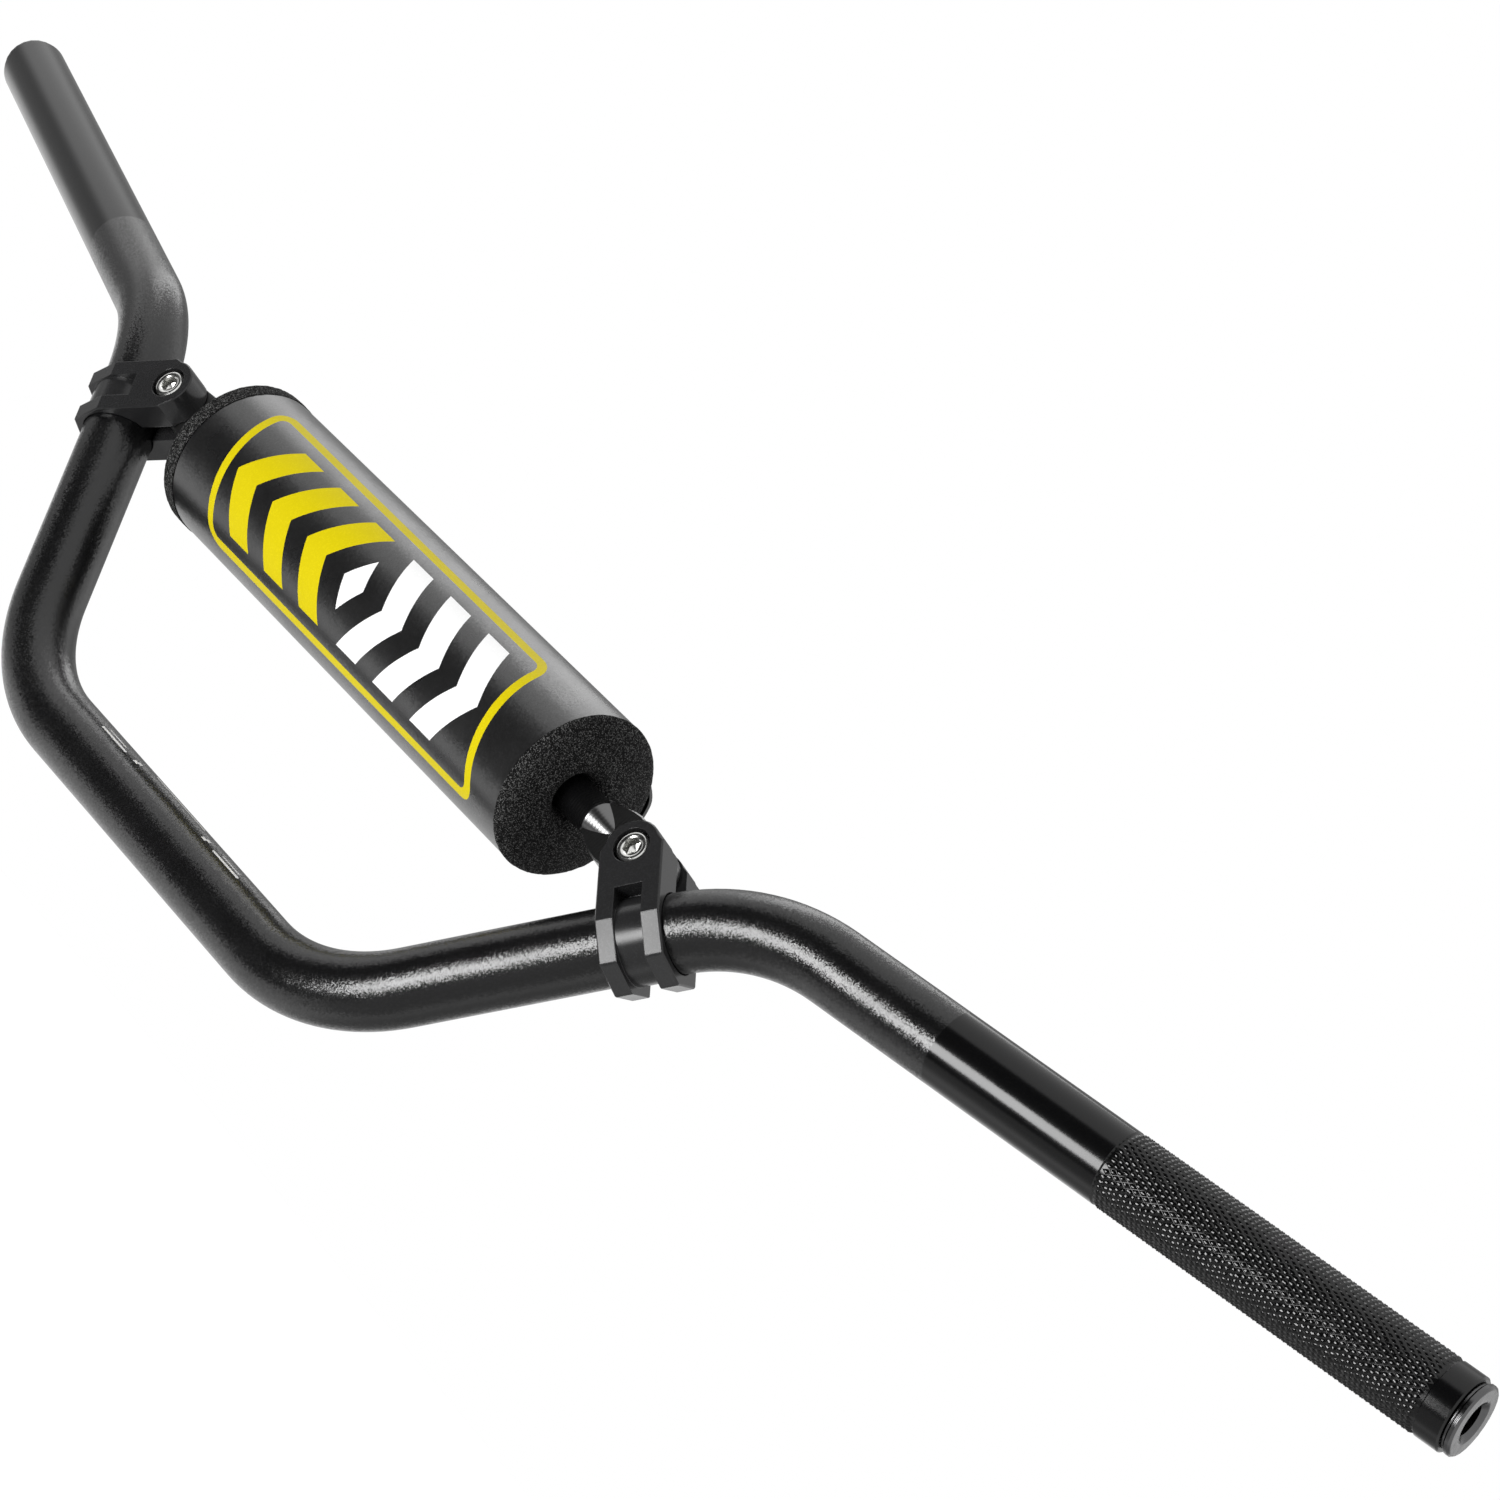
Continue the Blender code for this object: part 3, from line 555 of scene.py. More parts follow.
def make_piece(name: str, bm: Mesh, materials: list[Material],
               smooth_degrees: float = 35.0) -> Piece:
    """Turn a bmesh into an object at the origin, smooth up to an angle.

    Args:
        name: The piece's name.
        bm: The mesh, already in place.
        materials: Its materials, in the order of its faces' indices.
        smooth_degrees: The angle between faces above which an edge stays sharp.

    Returns:
        The new object.
    """
    mesh = bpy.data.meshes.new(name)
    bmesh.ops.recalc_face_normals(bm, faces=bm.faces)
    bm.to_mesh(mesh)
    bm.free()
    for material in materials:
        mesh.materials.append(material)
    mesh.shade_smooth()
    mesh.set_sharp_from_angle(angle=math.radians(smooth_degrees))
    piece = bpy.data.objects.new(name, mesh)
    bpy.context.scene.collection.objects.link(piece)
    return piece


def bridge(bm: Mesh, lower: list, upper: list, index: int = 0) -> None:
    """Join two closed rings of vertices with quads.

    Args:
        bm: The mesh that holds them.
        lower: The first ring.
        upper: The second ring, with as many vertices.
        index: The material index of the new faces.
    """
    for step in range(len(lower)):
        after = (step + 1) % len(lower)
        face = bm.faces.new((lower[step], lower[after], upper[after], upper[step]))
        face.material_index = index


def loft(bm: Mesh, outlines: list[list[Vector]]) -> None:
    """Join closed outlines of points into one solid, closed at its ends.

    Args:
        bm: The mesh that takes it.
        outlines: The outlines in order, with as many points each.
    """
    rims = [[bm.verts.new(point) for point in outline] for outline in outlines]
    for lower, upper in zip(rims, rims[1:]):
        bridge(bm, lower, upper)
    for rim in (rims[0], rims[-1]):
        bm.faces.new(rim)


def add_tree(item: Piece, tree: Tree, values: dict[str, object]) -> None:
    """Give an object a modifier with a Geometry Nodes tree.

    Args:
        item: The object.
        tree: The tree.
        values: Input name to value.
    """
    modifier = item.modifiers.new(tree.name, "NODES")
    modifier.node_group = tree
    for socket in tree.interface.items_tree:
        if socket.in_out == "INPUT" and socket.name in values:
            modifier[socket.identifier] = values[socket.name]


def grow(name: str, tree: Tree, values: dict[str, object]) -> Piece:
    """Make a plain mesh object, without modifiers, from a Geometry Nodes tree.

    Args:
        name: The object's name.
        tree: The tree that makes its shape.
        values: Input name to value.

    Returns:
        The new object.
    """
    item = bpy.data.objects.new(name, bpy.data.meshes.new(name + "_seed"))
    bpy.context.scene.collection.objects.link(item)
    add_tree(item, tree, values)
    graph = bpy.context.evaluated_depsgraph_get()
    mesh = bpy.data.meshes.new_from_object(item.evaluated_get(graph), depsgraph=graph)
    item.modifiers.clear()
    item.data = mesh
    return item


def scatter(recipe: Recipe, finish: Socket, **placed: Socket) -> Tree:
    """End a tree with a shape that is set on points, made real and given its finish.

    Args:
        recipe: The tree's recipe.
        finish: The socket with the finish.
        placed: The inputs of Instance on Points by name.

    Returns:
        The finished tree.
    """
    repeated = recipe.first("GeometryNodeInstanceOnPoints", placed)
    real = recipe.first("GeometryNodeRealizeInstances", {"Geometry": repeated})
    soft = recipe.first("GeometryNodeSetShadeSmooth", {"Geometry": real})
    painted = recipe.first("GeometryNodeSetMaterial", {"Geometry": soft, "Material": finish})
    return recipe.close(Geometry=painted)


# Sub-assemblies


@dataclass(frozen=True)
class Hoop:
    """A ring of the tube's skin: its centre, direction, radius and the zone that follows."""

    centre: Vector
    direction: Vector
    radius: float
    zone: Zone


@dataclass
class BarTube:
    """The bent tube: a bead-blasted middle, smooth grips, and the knurl's bed."""

    diameter: float = 0.0222
    wall: float = 0.004
    lower_corner_x: float = 0.092
    upper_corner_x: float = 0.176
    rise: float = 0.1065
    grip_reach: float = 0.224
    grip_sweep: float = 0.054
    grip_lift: float = 0.040
    lower_bend: float = 0.062
    upper_bend: float = 0.064
    chamfer: float = 0.0005
    facets: int = 96
    bend_step: float = math.radians(2.5)
    smooth_length: float = 0.168
    knurl_start: float = 0.1105
    knurl_end: float = 0.0078
    knurl_bed_depth: float = 0.00052
    knurl_bed_slope: float = 0.0004

    @property
    def radius(self) -> float:
        """The tube's outer radius."""
        return self.diameter / 2

    def end_point(self, side: Side) -> Vector:
        """The middle of the tube's end on one side."""
        x = side.value * (self.upper_corner_x + self.grip_reach)
        return Vector((x, self.grip_sweep, self.rise + self.grip_lift))

    def grip_direction(self, side: Side) -> Vector:
        """The unit direction of the grip on one side, outwards."""
        return Vector((side.value * self.grip_reach, self.grip_sweep, self.grip_lift)).normalized()

    def bend(self, before: Vector, corner: Vector, after: Vector, radius: float) -> list[Station]:
        """Round a corner of the centre line.

        Args:
            before: A point on the line that comes in.
            corner: The corner.
            after: A point on the line that goes out.
            radius: The bend's radius at the centre line.

        Returns:
            Points and directions along the arc.
        """
        into = (corner - before).normalized()
        out_of = (after - corner).normalized()
        turn = into.angle(out_of)
        start = corner - into * (radius * math.tan(turn / 2))
        normal = (out_of - into * into.dot(out_of)).normalized()
        steps = max(1, round(turn / self.bend_step))
        stations = []
        for angle in (turn * step / steps for step in range(steps + 1)):
            sideways = normal * (radius * (1 - math.cos(angle)))
            point = start + into * (radius * math.sin(angle)) + sideways
            stations.append((point, into * math.cos(angle) + normal * math.sin(angle)))
        return stations

    def middle(self) -> list[Hoop]:
        """The blasted middle's rings, from its right end to its left end.

        Returns:
            The rings of the four bends.
        """
        lower = Vector((self.lower_corner_x, 0.0, 0.0))
        upper = Vector((self.upper_corner_x, 0.0, self.rise))
        half = self.bend(Vector(), lower, upper, self.lower_bend)
        half += self.bend(lower, upper, self.end_point(Side.LEFT), self.upper_bend)
        mirrored = [(Vector((-point.x, point.y, point.z)), Vector((way.x, -way.y, -way.z)))
                    for point, way in reversed(half)]
        return [Hoop(point, way, self.radius, Zone.BLASTED) for point, way in mirrored + half]

    def grip(self, side: Side) -> list[Hoop]:
        """One grip's rings. The left one is sunk where its knurl lies.

        Args:
            side: The grip's side.

        Returns:
            The rings, from the grip's inner end outwards to its bore.
        """
        bed = self.radius - (self.knurl_bed_depth if side is Side.LEFT else 0.0)
        stations = [
            (self.smooth_length, self.radius),
            (self.knurl_start + self.knurl_bed_slope, self.radius),
            (self.knurl_start, bed),
            (self.knurl_end, bed),
            (self.knurl_end - self.knurl_bed_slope, self.radius),
            (self.chamfer, self.radius),
            (0.0, self.radius - self.chamfer),
            (0.0, self.radius - self.wall),
        ]
        end, outwards = self.end_point(side), self.grip_direction(side)
        return [
            Hoop(end - outwards * distance, outwards * side.value, radius, Zone.SMOOTH)
            for distance, radius in stations
        ]

    def skin(self) -> list[Hoop]:
        """Every ring of the skin, from the right bore round the outside to the left bore.

        Returns:
            The rings in order.
        """
        right = self.grip(Side.RIGHT)[::-1]
        last = right.pop()
        right.append(Hoop(last.centre, last.direction, last.radius, Zone.BLASTED))
        return right + self.middle() + self.grip(Side.LEFT)

    def rims(self, bm: Mesh, hoops: list[Hoop], bore: float = 0.0) -> list[list]:
        """Make the vertices of rings, without a twist from one to the next.

        Args:
            bm: The mesh that takes them.
            hoops: The rings.
            bore: A radius to use instead of their own.

        Returns:
            The vertices of each ring.
        """
        side = hoops[0].direction.cross(UPWARDS).normalized()
        angles = [FULL_TURN * step / self.facets for step in range(self.facets)]
        made = []
        for hoop in hoops:
            side = (side - hoop.direction * side.dot(hoop.direction)).normalized()
            up = side.cross(hoop.direction)
            size = bore or hoop.radius
            points = [hoop.centre + side * (size * math.cos(a)) + up * (size * math.sin(a))
                      for a in angles]
            made.append([bm.verts.new(point) for point in points])
        return made

    def build(self, materials: list[Material]) -> Piece:
        """Make the tube, hollow from end to end.

        Args:
            materials: The blasted finish and the smooth one.

        Returns:
            The tube's object.
        """
        bm = bmesh.new()
        hoops = self.skin()
        skin = self.rims(bm, hoops)
        for hoop, lower, upper in zip(hoops, skin, skin[1:]):
            bridge(bm, lower, upper, hoop.zone.value)
        bends = [hoop for hoop in hoops if hoop.zone is Zone.BLASTED]
        bore = [skin[0], *self.rims(bm, bends, self.radius - self.wall), skin[-1]]
        for lower, upper in zip(bore, bore[1:]):
            bridge(bm, lower, upper, Zone.SMOOTH.value)
        return make_piece("bar_tube", bm, materials)

    def dress(self, effects: Effects) -> Piece:
        """Make the tube, dress it, and let it stand for its CAD node."""
        tube = self.build([BLASTED_BLACK.make(effects), SMOOTH_BLACK.make(effects)])
        return settle(tube, "satin_black_alloy", "handlebar_tube")


@dataclass
class GripKnurl:
    """The diamond knurl rolled into the left grip: staggered rows of small pyramids."""

    tube: BarTube
    tooth_length: float = 0.00326
    teeth_round: int = 39
    tooth_height: float = 0.00082
    tooth_sides: int = 4
    bed_overlap: float = 0.00006

    @staticmethod
    def tooth_tree() -> Tree:
        """Make the tree that sets the teeth round the X axis, from x 0 to the length.

        Returns:
            The Geometry Nodes tree.
        """
        sizes = {"Float": "Length Radius Height", "Int": "Rows Round Sides", "Material": "Finish"}
        recipe, given = start_group("tooth_rows", Family.GEOMETRY, sizes, SHAPE)
        maths = recipe.maths
        grid = recipe.first("GeometryNodeMeshGrid", {
            "Size X": given["Length"], "Vertices X": given["Rows"], "Vertices Y": given["Round"]})
        index = recipe.first("GeometryNodeInputIndex")
        row = maths("FLOOR", maths("DIVIDE", index, given["Round"]))
        column = maths("FLOORED_MODULO", index, given["Round"])
        # Every other row is turned on by half a tooth
        stagger = maths("MULTIPLY", maths("FLOORED_MODULO", row, 2.0), 0.5)
        share = maths("DIVIDE", maths("ADD", column, stagger), given["Round"])
        angle = maths("MULTIPLY", share, FULL_TURN)
        step = maths("DIVIDE", given["Length"], maths("SUBTRACT", given["Rows"], 1.0))
        place = recipe.first(COMBINE, {
            0: maths("MULTIPLY", row, step),
            1: maths("MULTIPLY", given["Radius"], maths("COSINE", angle)),
            2: maths("MULTIPLY", given["Radius"], maths("SINE", angle))})
        points = recipe.first("GeometryNodeSetPosition", {"Geometry": grid, "Position": place})
        tooth = recipe.first("GeometryNodeMeshCone", {
            "Vertices": given["Sides"], "Side Segments": 1, "Radius Top": 0.0,
            "Radius Bottom": 1.0, "Depth": 1.0}, fill_type="NONE")
        around = maths("DIVIDE", maths("MULTIPLY", given["Radius"], math.pi), given["Round"])
        size = recipe.first(COMBINE, {0: step, 1: around, 2: given["Height"]})
        lean = recipe.first(COMBINE, {0: maths("SUBTRACT", angle, math.pi / 2)})
        turn = recipe.first("FunctionNodeEulerToRotation", {0: lean})
        return scatter(
            recipe, given["Finish"], Points=points, Instance=tooth, Rotation=turn, Scale=size)

    def dress(self, effects: Effects) -> Piece:
        """Make the teeth with Geometry Nodes and set them on the grip.

        Args:
            effects: The shared node groups.

        Returns:
            The finished piece.
        """
        tube = self.tube
        row_step = self.tooth_length / 2
        rows = int((tube.knurl_start - tube.knurl_end - self.tooth_length) / row_step) + 1
        knurl = grow("grip_knurl", self.tooth_tree(), {
            "Length": row_step * (rows - 1), "Rows": rows, "Round": self.teeth_round,
            "Radius": tube.radius - tube.knurl_bed_depth - self.bed_overlap,
            "Height": self.tooth_height, "Sides": self.tooth_sides,
            "Finish": KNURLED_BLACK.make(effects)})
        outwards = tube.grip_direction(Side.LEFT)
        start = tube.end_point(Side.LEFT) - outwards * (tube.knurl_start - self.tooth_length / 2)
        turn = outwards.to_track_quat("X", "Z").to_matrix().to_4x4()
        knurl.data.transform(Matrix.Translation(start) @ turn)
        return settle(knurl, "satin_black_alloy")


@dataclass
class CentreMarks:
    """Fine lines etched on the stem clamp zone, for setting the bar in its clamps.

    Each mark is its two ends along X, degrees above the front, and share of the width.
    """

    tube: BarTube
    width: float = 0.00085
    height: float = 0.00002
    sunk: float = 0.00004
    marks: tuple[tuple[float, float, float, float], ...] = (
        (-0.0150, 0.0150, 74.0, 0.8),
        (-0.0425, -0.0275, 51.0, 1.0),
        (-0.0405, -0.0305, 60.0, 0.5),
        (-0.0231, -0.0209, 54.0, 1.3),
        (-0.0217, -0.0199, 58.5, 1.3),
        (0.0275, 0.0425, 51.0, 1.0),
        (0.0305, 0.0405, 60.0, 0.5),
        (0.0199, 0.0221, 54.0, 1.3),
        (0.0213, 0.0231, 58.5, 1.3),
    )

    def dress(self, effects: Effects) -> Piece:
        """Make the lines as thin plates that follow the tube.

        Args:
            effects: The shared node groups.

        Returns:
            The finished piece.
        """
        bm = bmesh.new()
        for start, end, degrees, share in self.marks:
            half = self.width * share / 2 / self.tube.radius
            corners = [(turn, self.height) for turn in (-half, 0.0, half)]
            corners += [(turn, -self.sunk) for turn in (half, 0.0, -half)]
            places = [(math.radians(degrees) + turn, self.tube.radius + lift)
                      for turn, lift in corners]
            loft(bm, [
                [Vector((x, -radius * math.cos(a), radius * math.sin(a))) for a, radius in places]
                for x in (start, end)
            ])
        return settle(make_piece("centre_marks", bm, [ETCHED_GREY.make(effects)]), None)


@dataclass
class MachinedNodes:
    """The rigid CAD nodes that stay: clamps, bolts, crossbar and bar-end inserts."""

    nodes: dict[str, Piece]
    merge_distance: float = 0.00001
    sharp_angle: float = math.radians(17.0)

    @staticmethod
    def smoothing_tree() -> Tree:
        """Make the tree that joins a node's loose triangles and smooths its turned faces.

        Returns:
            The Geometry Nodes tree, with its two sizes as inputs.
        """
        recipe, given = start_group(
            "smooth_turned_faces", Family.GEOMETRY, {**SHAPE, "Float": "Merge Sharp"}, SHAPE)
        mesh = recipe.first("GeometryNodeRemoveAttribute", {
            "Geometry": given["Geometry"], "Name": "custom_normal"})
        mesh = recipe.first("GeometryNodeMergeByDistance", {
            "Geometry": mesh, "Distance": given["Merge"]})
        angle = recipe.add("GeometryNodeInputMeshEdgeAngle").outputs["Unsigned Angle"]
        flat = recipe.first(
            "FunctionNodeCompare", {0: angle, 1: given["Sharp"]}, operation="LESS_THAN")
        for domain, smooth in (("FACE", True), ("EDGE", flat)):
            values = {"Geometry": mesh, "Shade Smooth": smooth}
            mesh = recipe.first("GeometryNodeSetShadeSmooth", values, domain=domain)
        return recipe.close(Geometry=mesh)

    def dress(self, effects: Effects) -> list[Piece]:
        """Give each node its finish and smooth its turned faces.

        Args:
            effects: The shared node groups.

        Returns:
            The dressed nodes.
        """
        tree = self.smoothing_tree()
        finishes = {
            "gloss_black_rod": (ROD_BLACK, ["crossbar"]),
            "black_anodised_clamp": (CLAMP_BLACK, ["left_clamp", "right_clamp"]),
            "zinc_bolt_steel": (BOLT_STEEL, ["left_clamp_bolt", "right_clamp_bolt"]),
            "dark_grey_insert": (INSERT_GREY, ["left_end_insert", "right_end_insert"]),
        }
        dressed = []
        for slot, (finish, names) in finishes.items():
            material = finish.make(effects)
            for node in (self.nodes[name] for name in names):
                node.material_slots[0].material = material
                add_tree(node, tree, {"Merge": self.merge_distance, "Sharp": self.sharp_angle})
                dressed.append(node)
        return dressed


@dataclass
class Pad:
    """Sizes that the foam, its cover and the closure share."""

    axis_height: float = 0.0934
    cover_shift: float = -0.0005
    cover_length: float = 0.193
    foam_radius: float = 0.0243
    cover_inner_radius: float = 0.0246
    cover_thickness: float = 0.001
    lap_start: float = math.radians(148)
    lap_width: float = 0.0205
    lap_inner_radius: float = 0.0279

    @property
    def half_length(self) -> float:
        """Half the cover's length."""
        return self.cover_length / 2

    @property
    def cover_outer_radius(self) -> float:
        """The cover's outer radius round the foam."""
        return self.cover_inner_radius + self.cover_thickness

    @property
    def lap_angle(self) -> float:
        """The angle that the outer flap covers."""
        return self.lap_width / self.lap_inner_radius

    def around(self, along: float, radius: float, angle: float) -> Vector:
        """A point round the pad; the angle is 0 at the front and a quarter turn at the top."""
        height = self.axis_height + radius * math.sin(angle)
        return Vector((along, -radius * math.cos(angle), height))


@dataclass
class FoamRoll:
    """The foam roll on the crossbar, with soft ends that stand out past the cover."""

    pad: Pad
    reach_right: float = 0.008
    reach_left: float = 0.003
    bore_radius: float = 0.0062
    lip_radius: float = 0.0105
    lip_depth: float = 0.008
    end_radius: float = 0.0258
    edge_length: float = 0.0025
    edge_drop: float = 0.0100
    edge_steps: int = 12
    waist_gap: float = 0.0003
    slit_width: float = 0.0008
    facets: int = 190
    ring_step: float = 0.0008
    cell_scale: float = 700.0
    cell_height: float = 0.00014
    dent_scale: float = 90.0
    dent_height: float = 0.00012
    smooth_degrees: float = 60.0

    def end_outline(self, reach: float) -> list[Pair]:
        """One end of the outline, from the bore to the waist under the cover's edge.

        Args:
            reach: How far this end stands out past the cover.

        Returns:
            Points of distance from the end face inwards, and radius.
        """
        angles = [math.pi / 2 * step / self.edge_steps for step in range(self.edge_steps + 1)]
        lip = self.lip_radius - self.bore_radius
        waist = reach - self.waist_gap
        dish = [(self.lip_depth * (1 - math.sin(a)), self.bore_radius + lip * (1 - math.cos(a)))
                for a in angles]
        rim = [(self.edge_length * (1 - math.cos(a)),
                self.end_radius - self.edge_drop * (1 - math.sin(a))) for a in angles]
        return [*dish, *rim, (waist, self.end_radius), (waist, self.pad.foam_radius)]

    def outline(self) -> list[Pair]:
        """The foam's closed outline, with short steps where it shows.

        Returns:
            Points of X and radius.
        """
        half = self.pad.half_length
        left, right = (
            [(self.pad.cover_shift + sign * (half + reach - x), radius)
             for x, radius in self.end_outline(reach)]
            for sign, reach in ((1, self.reach_left), (-1, self.reach_right))
        )
        corners = left + right[::-1]
        points = []
        for first, second in zip(corners, corners[1:] + corners[:1]):
            length = math.dist(first, second)
            steps = 1 if length > half else max(1, math.ceil(length / self.ring_step))
            for share in (step / steps for step in range(steps)):
                points.append(tuple(a + (b - a) * share for a, b in zip(first, second)))
        return points

    def shows(self, point: Vector) -> bool:
        """Whether a point of the foam isn't under the cover.

        Args:
            point: The point.

        Returns:
            True past the cover's ends, and on the ends' wider parts.
        """
        radial = math.hypot(point.y, point.z - self.pad.axis_height)
        wider = radial > self.pad.foam_radius + self.waist_gap / 2
        return wider or abs(point.x - self.pad.cover_shift) > self.pad.half_length

    def build(self, material: Material) -> Piece:
        """Make the foam, open along its slit at the back, with cells and soft dents.

        Args:
            material: The foam's material.

        Returns:
            The foam's object.
        """
        outline = self.outline()
        slit = self.slit_width / self.pad.foam_radius / 2
        sweep = FULL_TURN - 2 * slit
        turns = [math.pi + slit + sweep * step / self.facets for step in range(self.facets + 1)]
        bm = bmesh.new()
        loft(bm, [[self.pad.around(x, radius, a) for x, radius in outline] for a in turns])
        bmesh.ops.recalc_face_normals(bm, faces=bm.faces)
        bm.normal_update()
        for vertex in bm.verts:
            if self.shows(vertex.co):
                cells = noise.noise(vertex.co * self.cell_scale) * self.cell_height
                dents = noise.noise(vertex.co * self.dent_scale) * self.dent_height
                vertex.co += vertex.normal * (cells + dents)
        return make_piece("foam_roll", bm, [material], self.smooth_degrees)

    def dress(self, effects: Effects) -> Piece:
        """Make the foam, dress it, and let it stand for its CAD node."""
        foam = settle(self.build(FOAM_BLACK.make(effects)), "black_foam", "pad_foam")
        return foam


@dataclass
class PrintDesign:
    """A generic print: a frame line, chevrons that part from the middle, and a lozenge."""

    centre_angle: float = math.radians(-10)
    length: float = 0.157
    height: float = 0.0515
    line: float = 0.0032
    slant: float = 0.24
    corner_radius: float = 0.0065
    corner_steps: int = 8
    pitch: float = 0.0215
    thickness: float = 0.0115
    point: float = 0.011
    chevron_height: float = 0.036
    first: float = 0.0165
    count: int = 3
    lozenge_length: float = 0.011
    lozenge_height: float = 0.019

    def frame(self, inset: float) -> list[Pair]:
        """The frame's outline, a slanted rectangle with round corners.

        Args:
            inset: How far inside the outer outline.

        Returns:
            Its points, anticlockwise.
        """
        radius = self.corner_radius - inset
        x = self.length / 2 - self.corner_radius
        y = self.height / 2 - self.corner_radius
        points = []
        for corner, (cx, cy) in enumerate(((x, y), (-x, y), (-x, -y), (x, -y))):
            for step in range(self.corner_steps + 1):
                angle = math.pi / 2 * (corner + step / self.corner_steps)
                height = cy + radius * math.sin(angle)
                points.append((cx + radius * math.cos(angle) - self.slant * height, height))
        return points

    def chevron(self, index: int, side: Side) -> list[Pair]:
        """One arrow-shaped bar that points away from the middle.

        Args:
            index: Its number from the middle.
            side: The side that it lies on.

        Returns:
            Its points, anticlockwise.
        """
        tail = self.first + self.pitch * index - self.point
        front = tail + self.thickness
        half = self.chevron_height / 2
        points = [(tail, -half), (front, -half), (front + self.point, 0.0), (front, half),
                  (tail, half), (tail + self.point, 0.0)]
        return points if side is Side.LEFT else [(-x, y) for x, y in reversed(points)]

    def fields(self) -> list[tuple[list[Pair], Ink]]:
        """The printed shapes, later ones over earlier ones.

        Returns:
            Outlines with their inks.
        """
        fields = [(self.frame(0.0), Ink.YELLOW), (self.frame(self.line), Ink.GROUND)]
        for index in range(self.count):
            fields.append((self.chevron(index, Side.RIGHT), Ink.YELLOW))
            fields.append((self.chevron(index, Side.LEFT), Ink.WHITE))
        x, y = self.lozenge_length / 2, self.lozenge_height / 2
        fields.append(([(-x, 0.0), (0.0, -y), (x, 0.0), (0.0, y)], Ink.WHITE))
        return fields


@dataclass
class PrintedCover:
    """The printed sleeve: one sheet rolled round the foam, its outer flap over its inner one."""

    pad: Pad
    design: PrintDesign
    ramp_angle: float = math.radians(22.5)
    body_steps: int = 150
    ramp_steps: int = 10
    lap_steps: int = 18

    @property
    def ramp_start(self) -> float:
        """The angle at which the sheet starts to climb over its own inner flap."""
        return self.pad.lap_start + FULL_TURN - self.ramp_angle

    def angles(self) -> list[float]:
        """Angles of the sheet's fold lines, from its inner flap to its outer one.

        Returns:
            The angles in order.
        """
        start, ramp = self.pad.lap_start, self.ramp_start
        end = start + FULL_TURN
        stretches = (
            (start, ramp - start, self.body_steps),
            (ramp, self.ramp_angle, self.ramp_steps),
            (end, self.pad.lap_angle, self.lap_steps),
        )
        angles = [first + sweep * step / steps
                  for first, sweep, steps in stretches for step in range(steps)]
        return [*angles, end + self.pad.lap_angle]

    def at(self, x: float, angle: float, lift: float) -> Vector:
        """A point of the sheet.

        Args:
            x: Its distance from the sheet's middle.
            angle: Its angle: the sheet lies round the foam, then climbs over its inner flap.
            lift: Its height over the sheet's inner side.

        Returns:
            The point.
        """
        share = min(1.0, max(0.0, (angle - self.ramp_start) / self.ramp_angle))
        ease = (1 - math.cos(math.pi * share)) / 2
        low = self.pad.cover_inner_radius
        radius = low + (self.pad.lap_inner_radius - low) * ease
        return self.pad.around(x + self.pad.cover_shift, radius + lift, angle)

    def girth(self) -> float:
        """The sheet's size round the pad, before it is rolled."""
        path = [self.at(0.0, angle, self.pad.cover_thickness / 2) for angle in self.angles()]
        return sum((second - first).length for first, second in zip(path, path[1:]))

    def pattern(self, angles: list[float]) -> tuple[list[Vector], list[tuple[list[int], Ink]]]:
        """Lay out the flat pattern of the sheet.

        Args:
            angles: The fold lines.

        Returns:
            Points of X and angle, and faces with their inks.
        """
        half, girth_radius = self.pad.half_length, self.pad.cover_outer_radius
        middle = self.design.centre_angle + FULL_TURN
        low, high = angles[0], angles[-1]
        fields = [([(-half, low), (half, low), (half, high), (-half, high)], Ink.GROUND)]
        for outline, ink in self.design.fields():
            fields.append(([(x, middle + y / girth_radius) for x, y in outline], ink))
        points, outlines, folds = [], [], []
        for outline, _ in fields:
            outlines.append(list(range(len(points), len(points) + len(outline))))
            points += outline
        for angle in angles[1:-1]:
            folds.append((len(points), len(points) + 1))
            points += [(-half, angle), (half, angle)]
        made = delaunay_2d_cdt([Vector(p) for p in points], folds, outlines, 1, MERGE_DISTANCE)
        faces = [(face, fields[max(source)][1]) for face, source in zip(made[2], made[5])]
        return made[0], faces

    def build(self, materials: list[Material]) -> Piece:
        """Make the sheet with its print as coloured faces.

        Args:
            materials: The ground, yellow and white finishes.

        Returns:
            The cover's object.
        """
        angles = self.angles()
        half, thickness = self.pad.half_length, self.pad.cover_thickness
        points, faces = self.pattern(angles)
        bm = bmesh.new()
        outside = [bm.verts.new(self.at(x, angle, thickness)) for x, angle in points]
        for face, ink in faces:
            bm.faces.new([outside[i] for i in face]).material_index = ink.value
        rims = [
            [bm.verts.new(self.at(x, angle, lift)) for angle in angles]
            for x, lift in ((-half, thickness), (-half, 0.0), (half, 0.0), (half, thickness))
        ]
        for first, second in zip(rims, rims[1:]):
            for i in range(len(angles) - 1):
                bm.faces.new((first[i], first[i + 1], second[i + 1], second[i]))
        for i in (0, -1):
            bm.faces.new([rim[i] for rim in rims])
        bmesh.ops.remove_doubles(bm, verts=bm.verts, dist=MERGE_DISTANCE)
        return make_piece("printed_cover", bm, materials)

    def dress(self, effects: Effects) -> Piece:
        """Make the cover, dress it, and let it stand for its CAD node."""
        inks = [finish.make(effects) for finish in (COVER_BLACK, PRINT_YELLOW, PRINT_WHITE)]
        return settle(self.build(inks), "black_cover", "pad_cover")


